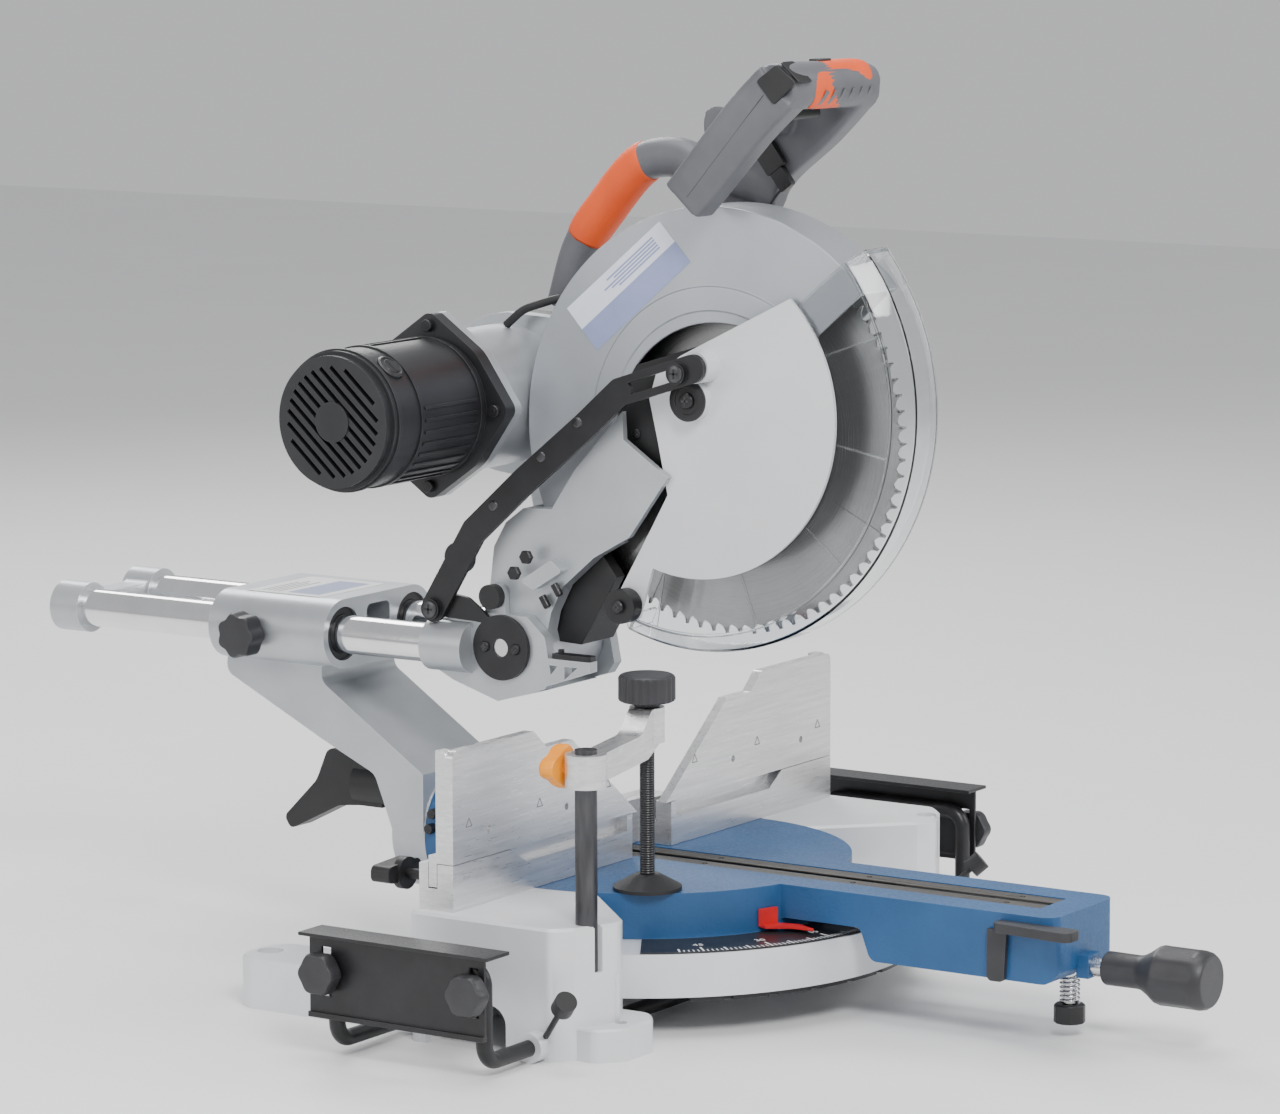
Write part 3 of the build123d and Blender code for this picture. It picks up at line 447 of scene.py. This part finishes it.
LOOKS = {
    "base_casting": ("base_paint", 1.4), "fixed_fence": ("bare_aluminium", 0.7), "mitre_scale": ("scale_black", 0.2),
    "detent_plate": ("black_steel", 0.4), "clamp_post": ("dark_steel", 0.8), "clamp_arm": ("bare_aluminium", 1.6),
    "clamp_pad": ("black_plastic", 0.8), "turntable": ("table_blue", 1.5), "kerf_inserts": ("insert_plastic", 0.4),
    "turntable_pivots": ("bright_steel", 0.6), "mitre_pointer": ("pointer_red", 0.3),
    "detent_lever": ("knob_plastic", 1.0), "support_arm": ("casting_silver", 1.6),
    "rail_housing": ("casting_silver", 1.6), "rail_bushings": ("bushing_plastic", 0.5),
    "bevel_lock_lever": ("black_plastic", 2.2), "slide_rails": ("chrome_rail", 1.0),
    "rail_end_cap": ("casting_silver", 1.4), "pivot_casting": ("casting_silver", 1.2),
    "link_plate": ("black_steel", 0.5), "head_pivot_shaft": ("bright_steel", 0.6),
    "transport_lock_pin": ("black_plastic", 0.8), "depth_stop_swivel": ("black_steel", 0.5),
    "guard_link_arm": ("black_steel", 0.5), "head_casting": ("casting_silver", 1.4),
    "upper_guard": ("guard_silver", 1.2), "arbor_cover": ("black_plastic", 0.6), "belt_cover": ("motor_plastic", 2.5),
    "motor_housing": ("motor_plastic", 1.0), "motor_armature": ("copper_armature", 0.5),
    "drive_belt": ("belt_rubber", 0.5), "blade_spindle": ("dark_steel", 0.8), "trigger": ("black_plastic", 1.2),
    "lock_off_button": ("black_plastic", 0.8), "motor_cable": ("belt_rubber", 0), "lower_guard": ("clear_plastic", 0.8),
    "guard_side_plate": ("guard_plate", 0.6), "guard_roller": ("black_plastic", 1.2),
    "dust_chute": ("black_plastic", 0.8),
}
for side in ("left", "right"):
    LOOKS[f"{side}_sliding_fence"] = ("bare_aluminium", 0.8)
    LOOKS[f"{side}_fence_knob"] = ("black_plastic", 1.6)
    LOOKS[f"{side}_support_bar"] = ("black_steel", 0.3)
    LOOKS[f"{side}_stop_plate"] = ("black_steel", 0.4)
    LOOKS[f"{side}_extension_lock"] = ("black_plastic", 1.2)
for node, (key, width) in LOOKS.items():
    dress(node, key, width)


# ---- blade ----

def saw_blade():
    bm = bmesh.new()
    cy, cz = -74.0, 423.0
    rim = []
    teeth = 80
    for i in range(teeth):
        tip = 360 * i / teeth
        rim += [(tip, 152.4), (tip + 0.45, 151.9), (tip + 1.5, 147.6), (tip + 3.2, 145.6), (tip + 4.1, 147.5)]
        if i % 20 == 5:
            rim += [(tip + 4.15, 147.3), (tip + 4.15, 118), (tip + 4.5, 116.5), (tip + 4.2, 115), (tip + 4.35, 118),
                    (tip + 4.38, 147.4)]
    low, high = [], []
    for x, store in ((-1.1, low), (1.1, high)):
        for angle, radius in rim:
            a = math.radians(angle)
            pair = []
            for r in (12.8, radius):
                pair.append(bm.verts.new(Vector((x, cy + r * math.cos(a), cz + r * math.sin(a))) * MM))
            store.append(pair)
    count = len(rim)
    for i in range(count):
        j = (i + 1) % count
        bm.faces.new((low[i][0], low[i][1], low[j][1], low[j][0]))
        bm.faces.new((high[i][0], high[j][0], high[j][1], high[i][1]))
        bm.faces.new((low[i][1], high[i][1], high[j][1], low[j][1]))
        bm.faces.new((low[j][0], high[j][0], high[i][0], low[i][0]))
    for i in range(teeth):
        a = math.radians(360 * i / teeth)
        out, turn = Vector((0, math.cos(a), math.sin(a))), Vector((0, -math.sin(a), math.cos(a)))
        corner = Vector((0, cy, cz)) + out * 148.2
        corners = []
        for x in (-1.45, 1.45):
            for u, v in ((0, -0.2), (4.25, -0.2), (4.15, 1.3), (0, 1.5)):
                corners.append(bm.verts.new((corner + X * x + out * u + turn * v) * MM))
        for quad in ((0, 1, 2, 3), (7, 6, 5, 4), (0, 4, 5, 1), (1, 5, 6, 2), (2, 6, 7, 3), (3, 7, 4, 0)):
            bm.faces.new([corners[k] for k in quad]).material_index = 1
    obj = piece("toothed_blade", bm, "spindle", ["blade_steel", "carbide"], bevel=0)
    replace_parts(obj, "blade")


saw_blade()


# ---- lower guard ribs, bosses and screws ----

bm = bmesh.new()
SHELL = (-58.0, 444.0)
for x0, x1 in ((-29, -27.7), (27.7, 29)):
    ring_x(bm, SHELL, 171.5, 173.6, 140.4, 289.6, x0, x1, 96)
    ring_x(bm, SHELL, 121.4, 123.6, 146, 286, x0, x1, 72)
for angle in (160, 190, 220, 250, 280):
    ring_x(bm, SHELL, 124, 171, angle - 0.3, angle + 0.3, -28.8, -27.9, 2)
for angle in (140.6, 289.4):
    ring_x(bm, SHELL, 172, 184.5, angle - 0.45, angle + 0.45, -14, 14, 2)
piece("guard_ribs", bm, "lower_guard", ["clear_plastic"], 0.3)

bm = bmesh.new()
for x, y, z, radius in ((-49, -75, 474, 7.0), (-42, -64, 448, 6.0)):
    cross_screw(bm, (x, y, z), (-1, 0, 0), radius, 2.6)
turned(bm, (-39.6, -64, 448), (-1, 0, 0), [(15.5, 0), (15.5, 1.8), (14, 2.6), (10.5, 2.6), (10, 1.8), (7, 1.8)], 48)
cross_screw(bm, (-46, -5, 290), (-1, 0, 0), 5, 2)
piece("guard_screws", bm, "lower_guard", ["black_steel", "dark_steel"], 0.2)


# ---- handles ----

def d_handle():
    bm = bmesh.new()
    near = along([(-49, -71, 597), (-49, -90, 618), (-49, -124, 656), (-48, -151, 682)], 20)
    swept(bm, near, lambda t: (13.4, 18.5 + 2 * t), up=X, power=6)
    far = along([(50, -66, 596), (50, -88, 622), (50, -122, 650), (48, -151, 678)], 20)
    swept(bm, far, lambda t: (12.4, 19 + t), up=X, power=6)
    grip = along([(-56, -150, 681), (-38, -153, 682), (0, -154, 681), (38, -154, 680), (58, -152, 677)], 28)
    swept(bm, grip, lambda t: (17.4, 17.2 - 0.6 * math.sin(math.pi * t)), up=Z, power=2.6)
    lower = along([(-50, -97, 652), (0, -99, 652), (50, -97, 652)], 24)
    swept(bm, lower, lambda t: (9.5 + 5 * abs(2 * t - 1) ** 4, 9.5 + 5 * abs(2 * t - 1) ** 4), up=Z, power=2.4)
    root = along([(47, -92, 596), (47, -60, 606), (47, -36, 610), (47, -10, 612)], 16)
    swept(bm, root, lambda t: (9.5 + 4 * t, 14 + 2 * t), up=X, power=3)
    neck = along([(49, -66, 540), (50, -58, 572), (50, -50, 604)], 12)
    swept(bm, neck, lambda t: (7, 24), up=X, power=5)
    neck = along([(50, -70, 512), (50, -20, 530), (50, 36, 508), (50, 98, 494)], 20)
    swept(bm, neck, lambda t: (6.5, 24 - 14 * t), up=X, power=4)
    obj = moulded("handle_moulding", bm, "head", "handle_plastic", 1.5, 4)
    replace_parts(obj, "handle_shells")


d_handle()

CARRY = [(46, -30, 602), (46, -8, 618), (46, 18, 619), (46, 37, 610), (46, 62, 583), (46, 87, 550), (46, 103, 503)]
bm = bmesh.new()
swept(bm, along(CARRY, 60), lambda t: (15.2, 15.6 - 1.6 * t), up=X, segments=36, power=2.2)
obj = moulded("carry_moulding", bm, "head", "handle_plastic", 1.5, 4)
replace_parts(obj, "carry_handle")
bm = bmesh.new()
sleeve = along(CARRY, 120)[48:98]
swept(bm, sleeve, lambda t: (16.4 - 1.2 * abs(2 * t - 1) ** 10, 16.4 - 1.2 * abs(2 * t - 1) ** 10), up=X, segments=48)
piece("carry_sleeve", bm, "head", ["grip_rubber"], 0)


def grip_overlay():
    """The soft orange skin over the grip, cut by six slanted grooves along its lower front edge."""
    bm = bmesh.new()
    rows = []
    columns = 56
    for i in range(columns + 1):
        t = i / columns
        x = -33 + 79 * t
        sag = 0.6 * math.sin(math.pi * (x + 56) / 113)
        edge = -152 - 8 * math.sin(math.pi * t)
        rear = 62 + 14 * math.sin(math.pi * t)
        row = []
        for k in range(25):
            angle = math.radians(edge + (rear - edge) * k / 24)
            c, s = math.cos(angle), math.sin(angle)
            end = 1 - 0.045 * abs(2 * t - 1) ** 10
            u = math.copysign(abs(c) ** (2 / 2.6), c) * (17.6 * end)
            v = math.copysign(abs(s) ** (2 / 2.6), s) * ((17.0 - sag) * end)
            row.append((x, -154 + v, 681 + u))
        rows.append(row)
    grid = [[bm.verts.new(Vector(p) * MM) for p in row] for row in rows]
    for a, b in zip(grid, grid[1:]):
        for k in range(24):
            bm.faces.new((a[k], a[k + 1], b[k + 1], b[k]))
    obj = piece("grip_overlay", bm, "head", ["grip_rubber"], 0)
    obj.modifiers.clear()
    solid = obj.modifiers.new("skin", "SOLIDIFY")
    solid.thickness = 0.0012
    solid.offset = -1
    return obj


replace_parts(grip_overlay(), "soft_grips")

GROOVE_RADIUS = 17.9
bm = bmesh.new()
for i in range(6):
    x = -27 + 12.5 * i
    path = []
    for k in range(9):
        angle = math.radians(-152 + 52 * k / 8)
        path.append(Vector((x + k, -154 + GROOVE_RADIUS * math.sin(angle), 681 + GROOVE_RADIUS * math.cos(angle))))
    swept(bm, path, lambda t: (2.3, 0.5), up=X, segments=16, power=3)
piece("grip_grooves", bm, "head", ["handle_plastic"], 0)

bm = bmesh.new()
plate_x(bm, rounded([(-137, 686), (-154, 698.5), (-171, 686), (-152, 669)], 3), -62.9, -59)
slab(bm, rounded([(-11, -9), (11, -9), (11, 9), (-11, 9)], 3), (-50.5, -163.5, 692), (0, -0.66, 0.75), 1.6, up=X)
piece("corner_cap", bm, "head", ["black_plastic"], 0.8)

bm = bmesh.new()
plate_x(bm, [(-142.6, 675.4), (-143.4, 676.2), (-78.4, 600.8), (-77.6, 600)], -62.6, -61.9)
piece("handle_seam", bm, "head", ["black_plastic"], 0)

bm = bmesh.new()
slab(bm, rounded([(-9, -16), (9, -16), (9, 14), (-9, 14)], 2.5), (30.5, -88, 626), X, 5.4, up=(0, -0.6, -0.8))
slab(bm, rounded([(-6, -8), (6, -8), (6, 8), (-6, 8)], 2), (30, -101, 608), X, 6, up=(0, -0.6, -0.8))
turned(bm, (30.2, -105, 604), (-1, 0, 0), [(2.0, 0), (2.0, 0.7), (1.2, 1)], 16)
piece("guard_release", bm, "head", ["black_plastic"], 0.6)
wire("release_wire", [(32, -104, 604), (31.5, -98, 598), (31, -92, 590), (31, -90, 584)], 1.1, "head", "black_steel",
     "black_steel")


# ---- knobs ----

def knob(name, node, body, at, axis, profile, lobes, depth, key="knob_plastic", segments=96):
    """A lobed knob that replaces a CAD node."""
    bm = bmesh.new()
    turned(bm, at, axis, profile, segments, lobes, depth)
    obj = piece(name, bm, body, [key, "black_steel"], 0.35, 40)
    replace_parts(obj, node)


knob("slide_knob_lobes", "slide_lock_knob", "slide_knob", (-67.3, 322, 246), (-1, 0, 0),
     [(4, 0, 0), (4, 5.7, 0), (9, 5.9, 0), (17, 6.4, 0.6), (18.5, 9, 1), (18.5, 20, 1), (17, 23, 0.8), (11, 23.6, 0),
      (8, 22.8, 0)], 7, 0.16)
knob("arm_knob_lobes", "clamp_arm_knob", "clamp_knob", (-239, -97.4, 207), Y,
     [(4, 0, 0), (4, 8.5, 0), (8, 8.8, 0), (16, 9.2, 0.6), (17.5, 11, 1), (17.5, 18, 1), (16, 21, 0.8),
      (9, 21.3, 0), (6, 20.2, 0)], 3, 0.42, "amber_plastic", segments=120)
for side, body in ((-1, "left"), (1, "right")):
    bm = bmesh.new()
    for y in (-82, 46):
        turned(bm, (side * 341.3, y, 63), (side, 0, 0),
               [(3, 0, 0), (3, 5.4, 0), (8, 5.6, 0), (15, 6.0, 0.6), (16, 8, 1), (16, 15, 1), (14.5, 18, 0.8),
                (8, 18.5, 0), (6, 17.6, 0)], 84, 6, 0.11)
    obj = piece(f"{body}_knob_lobes", bm, f"{body}_extension", ["knob_plastic"], 0.35, 40)
    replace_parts(obj, f"{body}_plate_knobs")


bm = bmesh.new()
turned(bm, (-116, -77, 0), Z, threaded(5.7, 0.6, 108.8, 233, 1.8), 28, slot=1)
turned(bm, (-116, -77, 232.5), Z, [(9.4, 0, 0), (9.4, 2.6, 0), (7.4, 2.8, 0), (7.4, 4.2, 0)], 40, slot=0)
turned(bm, (-116, -77, 236), Z, [(12, 0, 0), (19, 0, 0), (21, 1.2, 1), (21, 17.4, 1), (20.4, 18.8, 0.3),
                                 (18.6, 19.9, 0), (15, 19.4, 0)], 176, 22, 0.055)
obj = piece("clamp_handwheel", bm, "clamp_screw", ["knob_plastic", "black_steel"], 0.25, 40)
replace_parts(obj, "clamp_screw")

bm = bmesh.new()
turned(bm, (0, -373.5, 54), (0, -1, 0), [(7.4, 0), (7.4, 25)], 40, slot=1)
turned(bm, (0, -396.5, 54), (0, -1, 0),
       [(11.6, 0, 0), (12.4, 1.5, 0), (12.2, 26, 0), (12.8, 30, 0), (16, 36, 0), (21, 43, 0.2), (22, 46, 0.4),
        (22, 50, 1), (22, 72, 1), (21.9, 75, 0.3), (21.6, 77, 0), (20.8, 81, 0), (18.8, 84, 0), (17, 84.4, 0)],
       96, 8, 0.055)
obj = piece("mitre_grip", bm, "mitre_knob", ["knob_plastic", "bright_steel"], 0.4, 40)
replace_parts(obj, "mitre_lock_knob")

bm = bmesh.new()
turned(bm, (0, -366, 10), Z, [(11, 0, 0), (11.5, 0.8, 0), (11.5, 12.8, 0), (10.6, 14, 0), (7, 14, 0), (6, 13.2, 0)], 12,
       slot=0)
obj = piece("foot_cap", bm, "front_foot", ["black_plastic"], 0.6)
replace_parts(obj, "arm_foot")
bm = bmesh.new()
turned(bm, (0, -366, 0), Z, threaded(4.95, 0.45, 23.6, 69.5, 1.5), 24)
piece("foot_stud", bm, "front_foot", ["bright_steel"], 0)
helix("foot_spring", (0, -366, 24.6), 6.9, 3.2, 6.6, 0.75, "front_foot", "bright_steel")


# ---- scale, pointer and table details ----

bm = bmesh.new()
for step in range(-50, 51):
    length = 13 if step % 15 == 0 else 9 if step % 5 == 0 else 5.5
    angle = math.radians(270 + step)
    width = 0.45 if step % 5 else 0.7
    out = Vector((math.cos(angle), math.sin(angle), 0))
    slab(bm, [(-width, 0), (width, 0), (width, length), (-width, length)],
         out * (204.5 - length) + Z * 63.15, Z, 0.12, up=out)
piece("scale_ticks", bm, "base", ["scale_white"], 0)
for number in (-45, -30, -15, 0, 15, 30, 45):
    text = bpy.data.curves.new(f"scale_{number}", "FONT")
    text.body = str(abs(number))
    text.size = 0.0085
    text.extrude = 0.00006
    text.align_x = "CENTER"
    obj = bpy.data.objects.new(f"scale_number_{number + 45}", text)
    turn = Matrix.Rotation(math.radians(number), 4, "Z")
    obj.matrix_world = turn @ Matrix.Translation((0, -0.1865, 0.06329))
    text.materials.append(M["scale_white"])
    bpy.context.scene.collection.objects.link(obj)
    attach(obj, "base")

bm = bmesh.new()
for side in (-1, 1):
    for y in (-320, -190, -60, 25):
        cross_screw(bm, (side * 11.8, y, 93.6), Z, 2.1, 1.5)
# The black crosses on these bright heads are painted shade of their cross recesses.
piece("insert_screws", bm, "turntable", ["bright_steel", "black_steel"], 0)


# ---- head details ----

def guard_labels():
    a, b, c, d = Vector((-29, 578)), Vector((54, 509)), Vector((27, 479)), Vector((-56, 549))
    ab, dc = a.lerp(d, 0.5), b.lerp(c, 0.5)
    bm = bmesh.new()
    plate_x(bm, [tuple(p) for p in (a, b, dc, ab)], -24.35, -23.8, slot=0)
    plate_x(bm, [tuple(p) for p in (ab, dc, c, d)], -24.35, -23.8, slot=1)
    for k in range(5):
        start = ab.lerp(a, 0.25 + 0.12 * k).lerp(dc.lerp(b, 0.25 + 0.12 * k), 0.12)
        end = ab.lerp(a, 0.25 + 0.12 * k).lerp(dc.lerp(b, 0.25 + 0.12 * k), 0.55 + 0.06 * (k % 3))
        across = (a - d).normalized() * 0.6
        plate_x(bm, [tuple(p) for p in (start - across, end - across, end + across, start + across)], -24.5, -24.2,
                slot=1)
    piece("guard_label", bm, "head", ["label_pale", "label_blue"], 0)


guard_labels()
bm = bmesh.new()
slab(bm, rounded([(-42, -36), (42, -36), (42, 36), (-42, 36)], 3), (-6, 306, 274.9), Z, 0.35, up=Y)
for k in range(4):
    slab(bm, [(-34, 10 + 5 * k), (20 - 8 * (k % 2), 10 + 5 * k), (20 - 8 * (k % 2), 12 + 5 * k), (-34, 12 + 5 * k)],
         (-6, 306, 275.2), Z, 0.1, up=Y, slot=1)
slab(bm, [(-34, -28), (34, -28), (34, 2), (-34, 2)], (-6, 306, 275.2), Z, 0.08, up=Y, slot=2)
piece("housing_label", bm, "bevel_arm", ["label_white", "engraving", "label_blue"], 0)

MOTOR = (147.0, 434.5)
bm = bmesh.new()
for k in range(4):
    angle = math.radians(90 * k)
    hex_socket(bm, (-71.8, MOTOR[0] + 61 * math.cos(angle), MOTOR[1] + 61 * math.sin(angle)), (-1, 0, 0), 4.6, 5)
piece("motor_bolts", bm, "head", ["black_steel", "dark_steel"], 0.3)

bm = bmesh.new()
for k in range(36):
    angle = 10 * k
    if 100 <= angle <= 160:
        continue
    ring_x(bm, MOTOR, 51.2, 53.2, angle - 1.4, angle + 1.4, -150, -84, 3)
for x in (-184, -156, -80):
    ring_x(bm, MOTOR, 51, 53.4, 0, 359.9, x, x + 3.4, 120)
out = Vector((0, math.cos(math.radians(130)), math.sin(math.radians(130))))
seat = Vector((-168, MOTOR[0], MOTOR[1])) + out * 50
turned(bm, seat, out, [(11, 0), (11, 3), (9.6, 4), (8.6, 4), (8.4, 3.2), (7, 3.2), (6.4, 4.2)], 40)
# A black steel bar across the brush cap: painted shade of its screwdriver slot.
slab(bm, [(-6, -1), (6, -1), (6, 1), (-6, 1)], seat + out * 4.1, out, 0.5, up=X, slot=1)
piece("motor_ribs", bm, "head", ["motor_plastic", "black_steel"], 0.3)

bm = bmesh.new()
for y, z, radius in ((75, 322, 5.5), (86, 309, 5.5)):
    turned(bm, (-47.9, y, z), (-1, 0, 0), [(radius, 0), (radius, 3.6), (radius * 0.85, 4.2)], 6)
for y, z in ((55, 302), (66, 292)):
    turned(bm, (-42, y, z), Vector((0, -0.55, -0.84)), [(3, 0), (3, 9), (2.4, 10)], 24)
cross_screw(bm, (-24, -8, 418), (-1, 0, 0), 4, 2)
cross_screw(bm, (-24, -88, 470), (-1, 0, 0), 4, 2)
piece("stop_bolts", bm, "head", ["black_steel", "dark_steel"], 0.3)

bm = bmesh.new()
for y, z in ((23, 428), (56, 400), (100, 360)):
    turned(bm, (-57, y, z), (-1, 0, 0), [(4.2, 0), (3.6, 0.9), (2, 1.4)], 28)
cross_screw(bm, (-61, 157, 277), (-1, 0, 0), 6.6, 1.8)
cross_screw(bm, (-61, -66, 470), (-1, 0, 0), 6.6, 1.8)
# The black crosses on the two dark steel pan heads are painted shade of their cross recesses.
piece("link_screws", bm, "guard_link", ["dark_steel", "black_plastic"], 0.2)

bm = bmesh.new()
for y in (84, 112):
    cross_screw(bm, (-52, y, 251), (-1, 0, 0), 4.2, 2.2)
turned(bm, (-39, 140, 316), (-1, 0, 0), [(11, 0), (12, 1), (12, 9), (10.6, 10), (5, 10), (4, 9)], 40)
piece("plate_screws", bm, "carriage", ["black_steel", "dark_steel"], 0.2)

bm = bmesh.new()
for y, z in ((163, 116), (166, 104)):
    hex_socket(bm, (-46.5, y, z), (-1, 0, 0), 4, 7)
piece("bevel_stops", bm, "turntable", ["black_steel", "black_plastic"], 0.2)


# ---- fence details ----

bm = bmesh.new()
for side in (-1, 1):
    for x in (70, 235):
        hex_socket(bm, (side * x, 21, 129.8), Z, 4.5, 3)
piece("fence_bolts", bm, "base", ["black_steel", "black_plastic"], 0.3)
for side, body in ((-1, "left_fence"), (1, "right_fence")):
    bm = bmesh.new()
    for x in (60, 150, 240):
        for turn in (0, 120, 240):
            a, b = math.radians(90 + turn), math.radians(210 + turn)
            start = Vector((side * x + 4.2 * math.cos(a), 0, 158 + 4.2 * math.sin(a)))
            end = Vector((side * x + 4.2 * math.cos(b), 0, 158 + 4.2 * math.sin(b)))
            way = (end - start).normalized()
            over = way.cross(Y) * 0.35
            low = [start - over, end - over, end + over, start + over]
            front = [bm.verts.new((Vector((p.x, -5.12, p.z))) * MM) for p in low]
            back = [bm.verts.new((Vector((p.x, -4.9, p.z))) * MM) for p in low]
            bm.faces.new(front)
            bm.faces.new(back[::-1])
            for i in range(4):
                j = (i + 1) % 4
                bm.faces.new((front[i], back[i], back[j], front[j]))
    piece(f"{body}_marks", bm, body, ["engraving"], 0)


# ---- studio ----

camera_data = bpy.data.cameras.new("photo_camera")
camera_data.lens = 147.7
camera_data.sensor_width = 36
camera_data.dof.use_dof = False
camera_data.clip_start = 0.05
camera = bpy.data.objects.new("photo_camera", camera_data)
bpy.context.scene.collection.objects.link(camera)
forward = Vector((0.8261, 0.5447, -0.1444)).normalized()
right = forward.cross(Z).normalized()
up = right.cross(forward)
roll = math.radians(-0.175)
right, up = right * math.cos(roll) + up * math.sin(roll), up * math.cos(roll) - right * math.sin(roll)
turn = Matrix((right, up, -forward)).transposed().to_4x4()
camera.matrix_world = Matrix.Translation((-3.270, -2.151, 0.893)) @ turn
bpy.context.scene.camera = camera


def lamp(name, at, target, size, power, colour=(1, 1, 1)):
    data = bpy.data.lights.new(name, "AREA")
    data.shape = "RECTANGLE"
    data.size, data.size_y = size
    data.energy = power
    data.color = colour
    obj = bpy.data.objects.new(name, data)
    bpy.context.scene.collection.objects.link(obj)
    way = Vector(at) - Vector(target)
    obj.matrix_world = Matrix.Translation(at) @ way.to_track_quat("Z", "Y").to_matrix().to_4x4()


lamp("key", (-1.5, -1.7, 2.1), (0, 0, 0.3), (0.9, 0.9), 62)
lamp("fill", (-2.4, 1.0, 1.2), (0, 0, 0.3), (1.4, 1.2), 16)
lamp("rim", (1.6, 1.8, 2.0), (0, 0, 0.3), (1.2, 1.2), 40)
lamp("front", (1.4, -2.2, 1.4), (0, 0, 0.3), (1.2, 1.0), 22)
lamp("top", (0, 0.1, 2.6), (0, 0, 0.3), (1.4, 1.4), 34)

world = bpy.data.worlds.new("studio") if not bpy.context.scene.world else bpy.context.scene.world
bpy.context.scene.world = world
world.use_nodes = True
world.node_tree.nodes["Background"].inputs["Color"].default_value = (0.93, 0.94, 0.96, 1)
world.node_tree.nodes["Background"].inputs["Strength"].default_value = 0.62

floor_mesh = bpy.data.meshes.new("studio_floor")
bm = bmesh.new()
bmesh.ops.create_grid(bm, x_segments=8, y_segments=8, size=6)
bm.to_mesh(floor_mesh)
bm.free()
floor_mesh.materials.append(surface("floor", (0.84, 0.84, 0.84), (0.86, 0.86, 0.86), (0.5, 0.6), 0, 3, 200, 0.02))
floor = bpy.data.objects.new("studio_floor", floor_mesh)
bpy.context.scene.collection.objects.link(floor)
